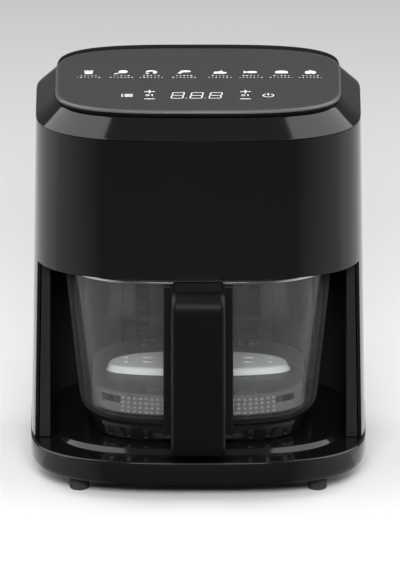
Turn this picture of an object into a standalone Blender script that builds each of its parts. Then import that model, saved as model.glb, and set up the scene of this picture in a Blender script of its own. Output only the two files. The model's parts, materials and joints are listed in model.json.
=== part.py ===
"""Air fryer with a glass pot that pulls out of the front.

+Z is up and the front faces -Y. The origin is on the floor, under the middle of the whole object.
Every solid is modelled in world space, then given its own origin by place().
"""
import math

import bmesh
import bpy
from mathutils import Matrix, Vector

MM = 0.001

# ---------------------------------------------------------------- driving sizes
CLEAR = 0.3 * MM                # gap left between two pieces that touch
HANDLE_REACH = 38 * MM          # head front to the front of the grip
BODY_DEPTH = 215 * MM           # head front to the back, at the parting line
SPACER_REACH = 15 * MM          # back to the end of the wall spacers
BODY_WIDTH = 251 * MM           # across the parting line
BODY_CURVE_FRONT = 86 * MM      # depth of the curved front
BODY_CURVE_BACK = 80 * MM       # depth of the curved back
DRAFT = 0.015                   # the body widens by this much of each step down
WALL = 2.5 * MM                 # plastic wall

FOOT_HEIGHT = 12 * MM
FOOT_DIAMETER = 15 * MM
FOOT_SIDE = 38 * MM             # base side to the foot centres
FOOT_INSET = 35 * MM            # base front or back to the foot centres
BASE_HEIGHT = 19.5 * MM
BASE_FLARE = 4.5 * MM           # base side outside the parting line's side
BASE_REACH = 15 * MM            # base front ahead of the head front
STEP_HEIGHT = 4.5 * MM          # raised platform that the pot slides on
LEDGE = 18 * MM                 # flat ledge from the base front to the platform
OPENING_HEIGHT = 142.5 * MM     # base top to the underside of the head
HEAD_HEIGHT = 111 * MM          # underside of the head to the parting line
CHAMFER = 15 * MM               # sloped shoulder above the parting line
FRAME_SETBACK = 50 * MM         # head front to the front faces of the side walls
SIDE_DEPTH = 11 * MM            # parting line's side to the side of the cavity
REAR_SPACE = 15 * MM            # back of the cavity to the back of the body
LINER = 2 * MM

BEZEL_FLOOR = 2.2 * MM
BEZEL_REAR = 12 * MM            # dark rim behind the panel
PANEL_THICKNESS = 2.7 * MM
PANEL_SIDE = 15.2 * MM          # parting line's side to the side of the panel
PANEL_FRONT = 16 * MM           # head front to the panel front
PANEL_REAR = 28 * MM            # back of the panel to the back of the body
WINDOW_WIDTH = 150 * MM         # opening for the touch board, under the panel
WINDOW_DEPTH = 70 * MM

POT_SIDE = 10.5 * MM            # side of the cavity to the side of the pot's rim
POT_FRONT = 3.665 * MM          # front of the head's lower edge to the front of the pot's rim
POT_REAR = 8 * MM               # back of the pot's rim to the back of the cavity
HOLDER_HEIGHT = 13.6 * MM       # black base that the glass stands in
POT_TAPER = 0.104               # the pot narrows by this much of each step down
GLASS = 3.6 * MM
GLASS_CORNER = 12 * MM
SEAL = 1.5 * MM
BAND_HEIGHT = 2.3 * MM
BAND = 1.2 * MM

GRIP_WIDTH = 42 * MM
GRIP_BAR = 15 * MM              # thickness of the bar, front to back
GRIP_ARM = 15 * MM              # height of the upper and lower arms
GRIP_BEND = 15 * MM             # radius of the upper outer bend
GRIP_FLOOR = 10 * MM            # gap under the grip, above the base top
BRACKET_WIDTH = 54 * MM
BRACKET = 3 * MM

PLATE = 1.5 * MM                # sheet of the crisper plate
PLATE_HEIGHT = 22 * MM          # skirt and plateau together
PLATEAU = 5.5 * MM              # rise of the plateau above the plate
PLATE_BORDER = 14 * MM          # side of the plateau to the side of the plate
PLATEAU_DEPTH = 50 * MM
PLATE_GAP = 4 * MM              # plate edge to the glass

CHAMBER_RADIUS = 79.8 * MM
CHAMBER_HEIGHT = 44.9 * MM
DOME = 1.2 * MM
SHAFT_RADIUS = 3 * MM
FAN_RADIUS = 56 * MM
COOLER_RADIUS = 42 * MM
MOTOR_RADIUS = 26 * MM
MOTOR_HEIGHT = 25 * MM
GRILLE_WIDTH = 80 * MM
GRILLE_HEIGHT = 45 * MM
GLAND_RADIUS = 6 * MM
PLUNGER_RADIUS = 2 * MM
PLUNGER_TRAVEL = 1.5 * MM

SIDE_POINTS = 17                # points on each half of a plan outline
ROUND = 24

# ---------------------------------------------------------------- levels and lines
BASE_TOP = FOOT_HEIGHT + BASE_HEIGHT
PLATFORM = BASE_TOP + STEP_HEIGHT
HEAD_BOTTOM = BASE_TOP + OPENING_HEIGHT
PARTING = HEAD_BOTTOM + HEAD_HEIGHT
SHOULDER = PARTING + CHAMFER
BEZEL_TOP = SHOULDER + CLEAR + BEZEL_FLOOR
PANEL_BOTTOM = BEZEL_TOP + CLEAR
PANEL_TOP = PANEL_BOTTOM + PANEL_THICKNESS

HEAD_FRONT = HANDLE_REACH - (HANDLE_REACH + BODY_DEPTH + SPACER_REACH) / 2
BODY_BACK = HEAD_FRONT + BODY_DEPTH
GRIP_FRONT = HEAD_FRONT - HANDLE_REACH
FRAME_FRONT = HEAD_FRONT + FRAME_SETBACK
CAVITY_END = BODY_BACK - REAR_SPACE
BASE_HALF = BODY_WIDTH / 2 + BASE_FLARE
CAVITY_HALF = BODY_WIDTH / 2 - SIDE_DEPTH
PANEL_HALF = BODY_WIDTH / 2 - PANEL_SIDE
PANEL_BACK = BODY_BACK - PANEL_REAR
FOOT_SPREAD = BASE_HALF - FOOT_SIDE

CEILING_BOTTOM = HEAD_BOTTOM + 2 * CLEAR
CEILING_TOP = CEILING_BOTTOM + WALL
SEAL_BOTTOM = CEILING_BOTTOM - CLEAR - SEAL
POT_TOP = SEAL_BOTTOM - 2 * CLEAR
HOLDER_BOTTOM = PLATFORM + CLEAR
HOLDER_TOP = HOLDER_BOTTOM + HOLDER_HEIGHT
GLASS_BOTTOM = HOLDER_TOP + CLEAR
POT_RIM_FRONT = HEAD_FRONT - DRAFT * HEAD_HEIGHT + POT_FRONT
POT_RIM_BACK = CAVITY_END - POT_REAR
CHAMBER_Y = (POT_RIM_FRONT + POT_RIM_BACK) / 2

DOME_BOTTOM = CEILING_TOP + CLEAR
DOME_TOP = DOME_BOTTOM + CHAMBER_HEIGHT
BRIDGE_BOTTOM = DOME_TOP + 7 * MM
BRIDGE_TOP = BRIDGE_BOTTOM + PLATE
MOTOR_BOTTOM = BRIDGE_TOP + CLEAR
MOTOR_TOP = MOTOR_BOTTOM + MOTOR_HEIGHT

PLATE_BOTTOM = GLASS_BOTTOM + GLASS + 4 * MM
PLATE_LEVEL = PLATE_BOTTOM + PLATE_HEIGHT - PLATEAU
PLATE_HALF = CAVITY_HALF - POT_SIDE - POT_TAPER * (POT_TOP - PLATE_BOTTOM) - GLASS - PLATE_GAP
PLATEAU_HALF = PLATE_HALF - PLATE_BORDER

# name: (colour, roughness, metallic)
LOOKS = {
    "gloss_black": ((0.010, 0.010, 0.011), 0.15, 0.0),
    "satin_black": ((0.013, 0.013, 0.014), 0.38, 0.0),
    "matte_black": ((0.018, 0.018, 0.019), 0.60, 0.0),
    "panel_grey": ((0.085, 0.086, 0.088), 0.25, 0.0),
    "clear_glass": ((0.55, 0.57, 0.57), 0.03, 0.0),
    "steel": ((0.60, 0.60, 0.59), 0.28, 1.0),
    "coated_plate": ((0.36, 0.36, 0.36), 0.42, 0.6),
    "rubber": ((0.020, 0.020, 0.021), 0.75, 0.0),
    "silicone": ((0.030, 0.030, 0.031), 0.65, 0.0),
    "aluminium": ((0.72, 0.72, 0.72), 0.35, 1.0),
    "element_steel": ((0.16, 0.15, 0.14), 0.45, 1.0),
    "circuit_board": ((0.020, 0.120, 0.050), 0.50, 0.0),
    "display_face": ((0.030, 0.030, 0.032), 0.20, 0.0),
    "insulation": ((0.52, 0.50, 0.44), 0.85, 0.0),
}


# ---------------------------------------------------------------- outlines
class Plan:
    """An outline seen from above: two superellipse ends joined by straight sides."""

    def __init__(self, half_width, front, back, front_depth, back_depth, power=3.0, back_power=3.0):
        self.half_width = half_width
        self.front = front
        self.back = back
        self.front_depth = front_depth
        self.back_depth = back_depth
        self.power = power
        self.back_power = back_power

    def grown(self, by):
        """The same outline, moved outwards all round."""
        return Plan(self.half_width + by, self.front - by, self.back + by,
                    self.front_depth + by, self.back_depth + by, self.power, self.back_power)

    def half(self, centre, depth, power, first_angle):
        points = []
        for step in range(SIDE_POINTS):
            angle = first_angle + math.pi * step / (SIDE_POINTS - 1)
            across = math.copysign(abs(math.cos(angle)) ** (2 / power), math.cos(angle))
            along = abs(math.sin(angle)) ** (2 / power)
            points.append((self.half_width * across, centre + depth * along))
        return points

    def back_half(self):
        """From the right side round the back to the left side."""
        return self.half(self.back - self.back_depth, self.back_depth, self.back_power, 0)

    def front_half(self):
        """From the left side round the front to the right side."""
        return self.half(self.front + self.front_depth, -self.front_depth, self.power, math.pi)

    def at(self, z):
        return [(x, y, z) for x, y in self.back_half() + self.front_half()]

    def back_at(self, x):
        """Where the curved back lies at a distance from the middle plane."""
        share = 1 - abs(x / self.half_width) ** self.back_power
        return self.back - self.back_depth * (1 - share ** (1 / self.back_power))

    def width_at(self, y):
        """Half width where the front's straight steps round the curve have reached a given depth."""
        right = self.front_half()[SIDE_POINTS // 2:]
        for (x1, y1), (x2, y2) in zip(right, right[1:]):
            if y1 <= y <= y2:
                return x1 + (x2 - x1) * (y - y1) / (y2 - y1)
        return self.half_width


def circle(radius, z, centre=(0, 0), count=ROUND):
    turns = [2 * math.pi * step / count for step in range(count)]
    return [(centre[0] + radius * math.cos(t), centre[1] + radius * math.sin(t), z) for t in turns]


def arc(centre, radius, first, last, steps):
    """Points on an arc in degrees, both ends included."""
    angles = [math.radians(first + (last - first) * step / steps) for step in range(steps + 1)]
    return [(centre[0] + radius * math.cos(a), centre[1] + radius * math.sin(a)) for a in angles]


BODY = Plan(BODY_WIDTH / 2, HEAD_FRONT, BODY_BACK, BODY_CURVE_FRONT, BODY_CURVE_BACK)
BASE = Plan(BASE_HALF, HEAD_FRONT - BASE_REACH, BODY_BACK + BASE_HEIGHT / 4,
            BODY_CURVE_FRONT + 6 * MM, BODY_CURVE_BACK + 4 * MM)
CAVITY = Plan(CAVITY_HALF, HEAD_FRONT, CAVITY_END, BODY_CURVE_FRONT, 75 * MM)
STAGE = Plan(CAVITY_HALF - 4 * CLEAR, HEAD_FRONT - BASE_REACH + LEDGE, CAVITY_END - 4 * CLEAR,
             BODY_CURVE_FRONT - 2 * MM, 74 * MM)
POT = Plan(CAVITY_HALF - POT_SIDE, POT_RIM_FRONT, POT_RIM_BACK, 84 * MM, 80 * MM)
PANEL = Plan(PANEL_HALF, HEAD_FRONT + PANEL_FRONT, PANEL_BACK,
             68 * MM, 66 * MM, power=3.6)
BEZEL = Plan(PANEL_HALF - 2 * CLEAR, PANEL.front + 2 * CLEAR, PANEL.back + BEZEL_REAR,
             68 * MM, 66 * MM, power=3.6)
PANEL_MIDDLE = (PANEL.front + PANEL.back) / 2
WINDOW = Plan(WINDOW_WIDTH / 2, PANEL_MIDDLE - WINDOW_DEPTH / 2, PANEL_MIDDLE + WINDOW_DEPTH / 2,
              WINDOW_DEPTH / 4, WINDOW_DEPTH / 4, power=6, back_power=6)
PLATEAU_PLAN = Plan(PLATEAU_HALF, CHAMBER_Y - PLATEAU_DEPTH / 2, CHAMBER_Y + PLATEAU_DEPTH / 2,
                    PLATEAU_DEPTH * 0.35, PLATEAU_DEPTH * 0.65, power=2.4, back_power=2.4)


def body_plan(z, inset=0):
    """The body's outline at a height; it widens towards the floor."""
    return BODY.grown(DRAFT * (PARTING - z) - inset)


def pot_plan(z, inset=0):
    return POT.grown(-POT_TAPER * (POT_TOP - z) - inset)


# ---------------------------------------------------------------- tools
def material(look):
    found = bpy.data.materials.get(look)
    if found:
        return found
    colour, roughness, metallic = LOOKS[look]
    made = bpy.data.materials.new(look)
    made.use_nodes = True
    shader = made.node_tree.nodes["Principled BSDF"]
    shader.inputs["Base Color"].default_value = (*colour, 1)
    shader.inputs["Roughness"].default_value = roughness
    shader.inputs["Metallic"].default_value = metallic
    made.diffuse_color = (*colour, 1)
    return made


def add_object(name, data, look):
    made = bpy.data.objects.new(name, data)
    bpy.context.scene.collection.objects.link(made)
    data.materials.append(material(look))
    return made


def solid(name, bm, look):
    """An object from a closed bmesh, faces turned outwards, round faces shaded smooth."""
    bmesh.ops.recalc_face_normals(bm, faces=bm.faces)
    mesh = bpy.data.meshes.new(name)
    bm.to_mesh(mesh)
    bm.free()
    mesh.shade_smooth()
    mesh.set_sharp_from_angle(angle=math.radians(32))
    return add_object(name, mesh, look)


def loft(name, sections, look, closed=False):
    """Skins sections that have matching points; an open loft is capped at both ends."""
    bm = bmesh.new()
    rings = [[bm.verts.new(point) for point in section] for section in sections]
    pairs = list(zip(rings, rings[1:]))
    if closed:
        pairs.append((rings[-1], rings[0]))
    else:
        bm.faces.new(rings[0])
        bm.faces.new(rings[-1])
    for here, there in pairs:
        for i, vertex in enumerate(here):
            j = (i + 1) % len(here)
            bm.faces.new((vertex, here[j], there[j], there[i]))
    return solid(name, bm, look)


def turned(name, profile, look, centre=(0, 0), closed=False, count=ROUND):
    """Turns (radius, height) points about a vertical axis."""
    return loft(name, [circle(r, z, centre, count) for r, z in profile], look, closed)


def turned_y(name, profile, look, x, z, count=16):
    """Turns (radius, y) points about an axis that runs front to back."""
    rings = [[(x + px, y, z + pz) for px, pz, _ in circle(r, 0, count=count)] for r, y in profile]
    return loft(name, rings, look)


def extruded(name, outline, axis, low, high, look, edge=0.0):
    """Extrudes an outline along X (points are y, z) or along Y (points are x, z)."""
    bm = bmesh.new()
    if axis == "X":
        corners = [(low, a, b) for a, b in outline]
        along = Vector((high - low, 0, 0))
    else:
        corners = [(a, low, b) for a, b in outline]
        along = Vector((0, high - low, 0))
    start = bm.faces.new([bm.verts.new(corner) for corner in corners])
    grown = bmesh.ops.extrude_face_region(bm, geom=[start])
    moved = [item for item in grown["geom"] if isinstance(item, bmesh.types.BMVert)]
    bmesh.ops.translate(bm, verts=moved, vec=along)
    if edge:
        bm.normal_update()
        direction = along.normalized()
        rims = [e for e in bm.edges
                if abs((e.verts[1].co - e.verts[0].co).normalized().dot(direction)) < 0.5]
        bmesh.ops.bevel(bm, geom=rims, offset=edge, offset_type="OFFSET", segments=2,
                        profile=0.5, affect="EDGES", clamp_overlap=True)
    return solid(name, bm, look)


def block(name, low, high, look, edge=0.0):
    """A box between two corners, with bevelled edges if asked."""
    bm = bmesh.new()
    size = Vector(high) - Vector(low)
    middle = (Vector(high) + Vector(low)) / 2
    bmesh.ops.create_cube(bm, size=1, matrix=Matrix.Translation(middle) @ Matrix.Diagonal((*size, 1)))
    if edge:
        bmesh.ops.bevel(bm, geom=bm.edges[:], offset=edge, offset_type="OFFSET", segments=2,
                        profile=0.5, affect="EDGES")
    return solid(name, bm, look)


def tube(name, points, radius, look, sides=2):
    """A round rod along a smooth line through the points."""
    curve = bpy.data.curves.new(name, "CURVE")
    curve.dimensions = "3D"
    curve.bevel_depth = radius
    curve.bevel_resolution = sides
    curve.use_fill_caps = True
    spline = curve.splines.new("POLY")
    spline.points.add(len(points) - 1)
    for knot, point in zip(spline.points, points):
        knot.co = (*point, 1)
    return add_object(name, curve, look)


def combine(piece, helper, operation):
    """Cuts a helper out of a piece, or joins it on; the helper itself stays hidden."""
    helper.hide_render = True
    helper.display_type = "WIRE"
    change = piece.modifiers.new(helper.name, "BOOLEAN")
    change.operation = operation
    change.solver = "EXACT"
    change.object = helper
    return piece


def cut(piece, helper):
    return combine(piece, helper, "DIFFERENCE")


def join(piece, helper):
    return combine(piece, helper, "UNION")


def many(name, helpers, look="satin_black"):
    """Merges separate helper shapes into one helper object."""
    bm = bmesh.new()
    for helper in helpers:
        bm.from_mesh(helper.data)
        bpy.data.objects.remove(helper)
    return solid(name, bm, look)


def place(piece, origin, parent=None):
    """Moves a mesh piece's own origin to a world point, and hangs it on a parent there."""
    piece.data.transform(Matrix.Translation(-Vector(origin)))
    piece.location = Vector(origin)
    if parent:
        piece.parent = parent
        piece.location -= parent.location
    return piece


def empty(name, origin):
    made = bpy.data.objects.new(name, None)
    bpy.context.scene.collection.objects.link(made)
    made.location = origin
    return made


def screw_down(name, x, y, head_bottom, head_top, tip, look="steel"):
    """A pan-head screw that points up, driven from below."""
    head = 3.4 * MM
    shank = 1.6 * MM
    profile = [(head * 0.8, head_bottom), (head, head_bottom + 0.5 * MM), (head, head_top),
               (shank, head_top), (shank, tip - MM), (shank * 0.4, tip)]
    return place(turned(name, profile, look, (x, y), count=12), (x, y, head_bottom))


# ---------------------------------------------------------------- base
SCREW_HOLE = 1.9 * MM
BOSS_RADIUS = 4.5 * MM
FOOT_FRONT = BASE.front + FOOT_INSET
FOOT_REAR = BASE.back - FOOT_INSET
BASE_SCREWS = [(side * FOOT_SPREAD * 0.75, y) for y in (FOOT_FRONT + 22 * MM, FOOT_REAR - 22 * MM)
               for side in (-1, 1)]
COVER_TOP = FOOT_HEIGHT + CLEAR + WALL
BASE_UNDERSIDE = BASE_TOP - 3 * MM


def base_tray():
    rim = 0.6 * MM
    piece = loft("base_tray", [
        STAGE.grown(-3 * MM).at(PLATFORM),
        STAGE.at(BASE_TOP),
        BASE.grown(-2 * rim).at(BASE_TOP),
        BASE.grown(-rim / 2).at(BASE_TOP - rim),
        BASE.at(BASE_TOP - 2.5 * MM),
        BASE.grown(-0.5 * MM).at(FOOT_HEIGHT + 5 * MM),
        BASE.grown(-2 * MM).at(FOOT_HEIGHT + 1.5 * MM),
        BASE.grown(-3.5 * MM).at(FOOT_HEIGHT),
        BASE.grown(-3.5 * MM - WALL).at(FOOT_HEIGHT),
        BASE.grown(-3.5 * MM - WALL).at(BASE_UNDERSIDE),
    ], "gloss_black")
    bosses = [turned("boss", [(BOSS_RADIUS, COVER_TOP + CLEAR), (BOSS_RADIUS, BASE_UNDERSIDE + MM)],
                     "satin_black", spot, count=12) for spot in BASE_SCREWS]
    join(piece, many("base_bosses", bosses))
    holes = [turned("hole", [(SCREW_HOLE, COVER_TOP), (SCREW_HOLE, BASE_UNDERSIDE)],
                    "satin_black", spot, count=12) for spot in BASE_SCREWS]
    cut(piece, many("base_boss_holes", holes))


def base_bottom_cover():
    edge = BASE.grown(-3.5 * MM - WALL - CLEAR)
    piece = loft("base_bottom_cover", [edge.at(FOOT_HEIGHT + CLEAR), edge.at(COVER_TOP)], "matte_black")
    holes = [turned("hole", [(SCREW_HOLE, FOOT_HEIGHT), (SCREW_HOLE, COVER_TOP + MM)],
                    "satin_black", spot, count=12) for spot in BASE_SCREWS]
    cut(piece, many("cover_holes", holes))


def feet_and_base_screws():
    radius = FOOT_DIAMETER / 2
    profile = [(radius - 1.2 * MM, 0), (radius, 1.2 * MM), (radius, FOOT_HEIGHT)]
    for row, y in (("front", FOOT_FRONT), ("rear", FOOT_REAR)):
        for side, x in (("left", -FOOT_SPREAD), ("right", FOOT_SPREAD)):
            foot = turned(f"foot_{row}_{side}", profile, "rubber", (x, y), count=24)
            place(foot, (x, y, 0))
    head_top = FOOT_HEIGHT
    for number, (x, y) in enumerate(BASE_SCREWS, 1):
        screw_down(f"base_screw_{number}", x, y, head_top - 2 * MM, head_top, BASE_UNDERSIDE - 3 * MM)


# ---------------------------------------------------------------- body shells
GRILLE_MIDDLE = DOME_TOP + 5 * MM
GLAND_X = -40 * MM
GLAND_Z = BASE_TOP + 43 * MM
PLUNGER_Z = HEAD_BOTTOM - 24 * MM
LEAD_Y = CAVITY_END + LINER + 6 * MM
LEAD_RADIUS = 3 * MM


def outer_shell():
    bottom = BASE_TOP + CLEAR
    piece = loft("outer_shell", [
        body_plan(bottom).at(bottom),
        body_plan(PARTING).at(PARTING),
        body_plan(PARTING, WALL).at(PARTING),
        body_plan(bottom, WALL).at(bottom),
    ], "gloss_black", closed=True)
    side = BODY_WIDTH
    cut(piece, block("front_opening", (-side, HEAD_FRONT - side, 0), (side, FRAME_FRONT, HEAD_BOTTOM),
                     "satin_black"))
    low = (-GRILLE_WIDTH / 2, BODY_BACK - 20 * MM, GRILLE_MIDDLE - GRILLE_HEIGHT / 2)
    high = (GRILLE_WIDTH / 2, BODY_BACK + 20 * MM, GRILLE_MIDDLE + GRILLE_HEIGHT / 2)
    cut(piece, block("grille_opening", low, high, "satin_black"))
    reach = [(GLAND_RADIUS + CLEAR, BODY_BACK - 12 * MM), (GLAND_RADIUS + CLEAR, BODY_BACK + 12 * MM)]
    cut(piece, turned_y("gland_hole", reach, "satin_black", GLAND_X, GLAND_Z))


def liner_section(z):
    """The cavity wall seen from above: two front flanges, two sides and a curved back."""
    outside = CAVITY.grown(LINER)
    flange = body_plan(z, WALL + 2 * CLEAR).width_at(FRAME_FRONT)
    front = FRAME_FRONT
    step = front + LINER
    path = [(flange, front), (flange, step), (outside.half_width, step)]
    path += outside.back_half()
    path += [(-outside.half_width, step), (-flange, step), (-flange, front)]
    path += [(-CAVITY.half_width, front)]
    path += reversed(CAVITY.back_half())
    path += [(CAVITY.half_width, front)]
    return [(x, y, z) for x, y in path]


def cavity_liner():
    bottom = BASE_TOP + CLEAR
    top = CEILING_BOTTOM - CLEAR
    piece = loft("cavity_liner", [liner_section(bottom), liner_section(top)], "satin_black")
    reach = [(PLUNGER_RADIUS + CLEAR, CAVITY_END - LINER), (PLUNGER_RADIUS + CLEAR, CAVITY_END + 2 * LINER)]
    cut(piece, turned_y("plunger_hole", reach, "satin_black", 0, PLUNGER_Z))


def head_bottom_cover():
    bottom = body_plan(CEILING_BOTTOM, WALL + CLEAR)
    top = body_plan(CEILING_TOP, WALL + CLEAR)
    middle = (0, CHAMBER_Y)
    count = 2 * SIDE_POINTS
    piece = loft("head_bottom_cover", [
        bottom.at(CEILING_BOTTOM),
        top.at(CEILING_TOP),
        circle(CHAMBER_RADIUS, CEILING_TOP, middle, count),
        circle(CHAMBER_RADIUS, CEILING_BOTTOM, middle, count),
    ], "matte_black", closed=True)
    hole = [(LEAD_RADIUS + 1.5 * MM, CEILING_BOTTOM - MM), (LEAD_RADIUS + 1.5 * MM, CEILING_TOP + MM)]
    cut(piece, turned("lead_hole", hole, "satin_black", (GLAND_X, LEAD_Y), count=12))


def top_cover():
    bottom = PARTING + CLEAR
    loft("top_cover", [
        BODY.at(bottom),
        BODY.grown(-CHAMFER).at(SHOULDER),
        WINDOW.at(SHOULDER),
        WINDOW.at(SHOULDER - WALL),
        BODY.grown(-CHAMFER - WALL).at(SHOULDER - WALL),
        BODY.grown(-WALL - 1.5 * MM).at(bottom),
    ], "gloss_black", closed=True)


def top_bezel():
    bottom = SHOULDER + CLEAR
    rim = PANEL_TOP - 0.4 * MM
    piece = loft("top_bezel", [
        BEZEL.at(bottom),
        BEZEL.at(rim - MM),
        BEZEL.grown(-MM).at(rim),
        WINDOW.at(rim),
        WINDOW.at(bottom),
    ], "gloss_black", closed=True)
    room = PANEL.grown(CLEAR)
    cut(piece, loft("panel_room", [room.at(BEZEL_TOP), room.at(PANEL_TOP + 5 * MM)], "satin_black"))


def control_panel():
    loft("control_panel", [
        PANEL.grown(-0.6 * MM).at(PANEL_BOTTOM),
        PANEL.at(PANEL_BOTTOM + 0.6 * MM),
        PANEL.at(PANEL_TOP - 1.5 * MM),
        PANEL.grown(-0.5 * MM).at(PANEL_TOP - 0.5 * MM),
        PANEL.grown(-1.5 * MM).at(PANEL_TOP),
    ], "panel_grey")


def touch_electronics():
    gap = 1.2 * MM
    board = WINDOW.grown(-gap)
    board_top = SHOULDER - WALL
    loft("touch_board", [board.at(board_top - 1.6 * MM), board.at(board_top)], "circuit_board")
    middle = PANEL_MIDDLE - 8 * MM
    block("digit_display", (-24 * MM, middle - 10 * MM, board_top + CLEAR),
          (24 * MM, middle + 10 * MM, PANEL_BOTTOM - CLEAR), "display_face", 0.5 * MM)
    sounder = [(6 * MM, board_top - 1.6 * MM - CLEAR), (6 * MM, board_top - 7 * MM)]
    turned("buzzer", sounder, "matte_black", (50 * MM, PANEL_MIDDLE), count=20)


def rear_fittings():
    back = BODY_BACK
    low = (-GRILLE_WIDTH / 2 + CLEAR, back - 5 * MM, GRILLE_MIDDLE - GRILLE_HEIGHT / 2 + CLEAR)
    high = (GRILLE_WIDTH / 2 - CLEAR, back + 2.5 * MM, GRILLE_MIDDLE + GRILLE_HEIGHT / 2 - CLEAR)
    grille = block("air_outlet_grille", low, high, "satin_black", 0.8 * MM)
    slots = 6
    slot = 3.5 * MM
    pitch = (GRILLE_HEIGHT - 6 * MM) / slots
    bars = []
    for row in range(slots):
        z = GRILLE_MIDDLE + (row - (slots - 1) / 2) * pitch
        bars.append(block("slot", (low[0] + 6 * MM, low[1] - MM, z - slot / 2),
                          (high[0] - 6 * MM, high[1] + MM, z + slot / 2), "satin_black"))
    cut(grille, many("grille_slots", bars))

    flange_start = body_plan(GLAND_Z).back + CLEAR
    inner = body_plan(GLAND_Z).back - 6 * MM
    gland = turned_y("cord_gland", [
        (GLAND_RADIUS, inner), (GLAND_RADIUS, flange_start), (GLAND_RADIUS + 3 * MM, flange_start),
        (GLAND_RADIUS + 3 * MM, flange_start + 1.5 * MM), (GLAND_RADIUS + 1.5 * MM, flange_start + 3 * MM),
    ], "rubber", GLAND_X, GLAND_Z)
    bore = [(3.5 * MM, inner - MM), (3.5 * MM, flange_start + 5 * MM)]
    cut(gland, turned_y("gland_bore", bore, "satin_black", GLAND_X, GLAND_Z))

    half = 8 * MM
    middle = GRILLE_WIDTH / 2 + 4 * MM + half
    level = GRILLE_MIDDLE
    start = body_plan(level - half).back_at(middle - half) + CLEAR
    for side, x in (("left", -middle), ("right", middle)):
        block(f"rear_spacer_{side}", (x - half, start, level - half),
              (x + half, back + SPACER_REACH, level + half), "satin_black", 2 * MM)


# ---------------------------------------------------------------- heating chamber
ELEMENT_RADIUS = 3.3 * MM
ELEMENT_LOOP = CHAMBER_RADIUS - 14 * MM
ELEMENT_LEVEL = DOME_BOTTOM + 13 * MM
ELEMENT_LEG = 9 * MM            # each leg to the middle plane
LEG_TOP = DOME_TOP + 10 * MM
FAN_TOP = DOME_TOP - DOME - 6.5 * MM
BLADE = 11 * MM
PROBE_Z = DOME_BOTTOM + 18 * MM


def pot_seal():
    outer = pot_plan(POT_TOP, -1 * MM)
    inner = pot_plan(POT_TOP, 6 * MM)
    loft("pot_seal", [outer.at(SEAL_BOTTOM), outer.at(SEAL_BOTTOM + SEAL), inner.at(SEAL_BOTTOM + SEAL),
                      inner.at(SEAL_BOTTOM)], "silicone", closed=True)


def heater_dome():
    middle = (0, CHAMBER_Y)
    bore = SHAFT_RADIUS + 2 * MM
    shoulder = CHAMBER_RADIUS - 4 * MM
    crown = CHAMBER_RADIUS - 9 * MM
    bend = DOME_TOP - 6 * MM
    piece = turned("heater_dome", [
        (CHAMBER_RADIUS + 8 * MM, DOME_BOTTOM), (CHAMBER_RADIUS + 8 * MM, DOME_BOTTOM + DOME),
        (CHAMBER_RADIUS + DOME, DOME_BOTTOM + DOME), (shoulder + DOME, bend),
        (crown, DOME_TOP), (bore, DOME_TOP), (bore, DOME_TOP - DOME),
        (crown - DOME / 2, DOME_TOP - DOME), (shoulder, bend - DOME / 2), (CHAMBER_RADIUS, DOME_BOTTOM),
    ], "aluminium", middle, closed=True)
    hole = ELEMENT_RADIUS + 2 * CLEAR
    legs = [turned("hole", [(hole, DOME_TOP - 3 * MM), (hole, DOME_TOP + 3 * MM)], "satin_black",
                   (side * ELEMENT_LEG, CHAMBER_Y + ELEMENT_LOOP), count=12) for side in (-1, 1)]
    cut(piece, many("leg_holes", legs))
    near = CHAMBER_Y - CHAMBER_RADIUS
    cut(piece, turned_y("probe_hole", [(2.5 * MM + CLEAR, near - 6 * MM), (2.5 * MM + CLEAR, near + 8 * MM)],
                        "satin_black", 0, PROBE_Z, count=12))


def heating_element():
    """One loop of sheathed element, with a leg up through the dome at each end."""
    steps = 28
    end = math.asin(ELEMENT_LEG / ELEMENT_LOOP)
    start_angle = math.pi / 2 + end
    sweep = 2 * math.pi - 2 * end
    leg_y = CHAMBER_Y + ELEMENT_LOOP
    rise = 5 * MM
    loop = []
    for step in range(steps + 1):
        angle = start_angle + sweep * step / steps
        loop.append((ELEMENT_LOOP * math.cos(angle), CHAMBER_Y + ELEMENT_LOOP * math.sin(angle),
                     ELEMENT_LEVEL))
    left = [(-ELEMENT_LEG, leg_y, z) for z in (LEG_TOP, ELEMENT_LEVEL + rise)]
    right = [(ELEMENT_LEG, leg_y, z) for z in (ELEMENT_LEVEL + rise, LEG_TOP)]
    tube("heating_element", left + loop + right, ELEMENT_RADIUS, "element_steel")


def element_guard():
    middle = (0, CHAMBER_Y)
    bottom = DOME_BOTTOM + 1.5 * MM
    top = bottom + 1.6 * MM
    outer = CHAMBER_RADIUS - 1.5 * MM

    def hoop(name, radius, width):
        profile = [(radius, bottom), (radius, top), (radius - width, top), (radius - width, bottom)]
        return turned(name, profile, "steel", middle, closed=True)

    piece = hoop("element_guard", outer, 3.5 * MM)
    for number in range(4):
        bar = block(f"guard_bar_{number}", (-outer + 2 * MM, -MM, bottom + 0.2 * MM),
                    (outer - 2 * MM, MM, top - 0.2 * MM), "steel")
        bar.rotation_euler.z = math.pi * (number + 0.5) / 4
        bar.location = (0, CHAMBER_Y, 0)
        join(piece, bar)
    for number, share in enumerate((0.66, 0.34)):
        join(piece, hoop(f"guard_hoop_{number}", outer * share, 1.6 * MM))


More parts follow.
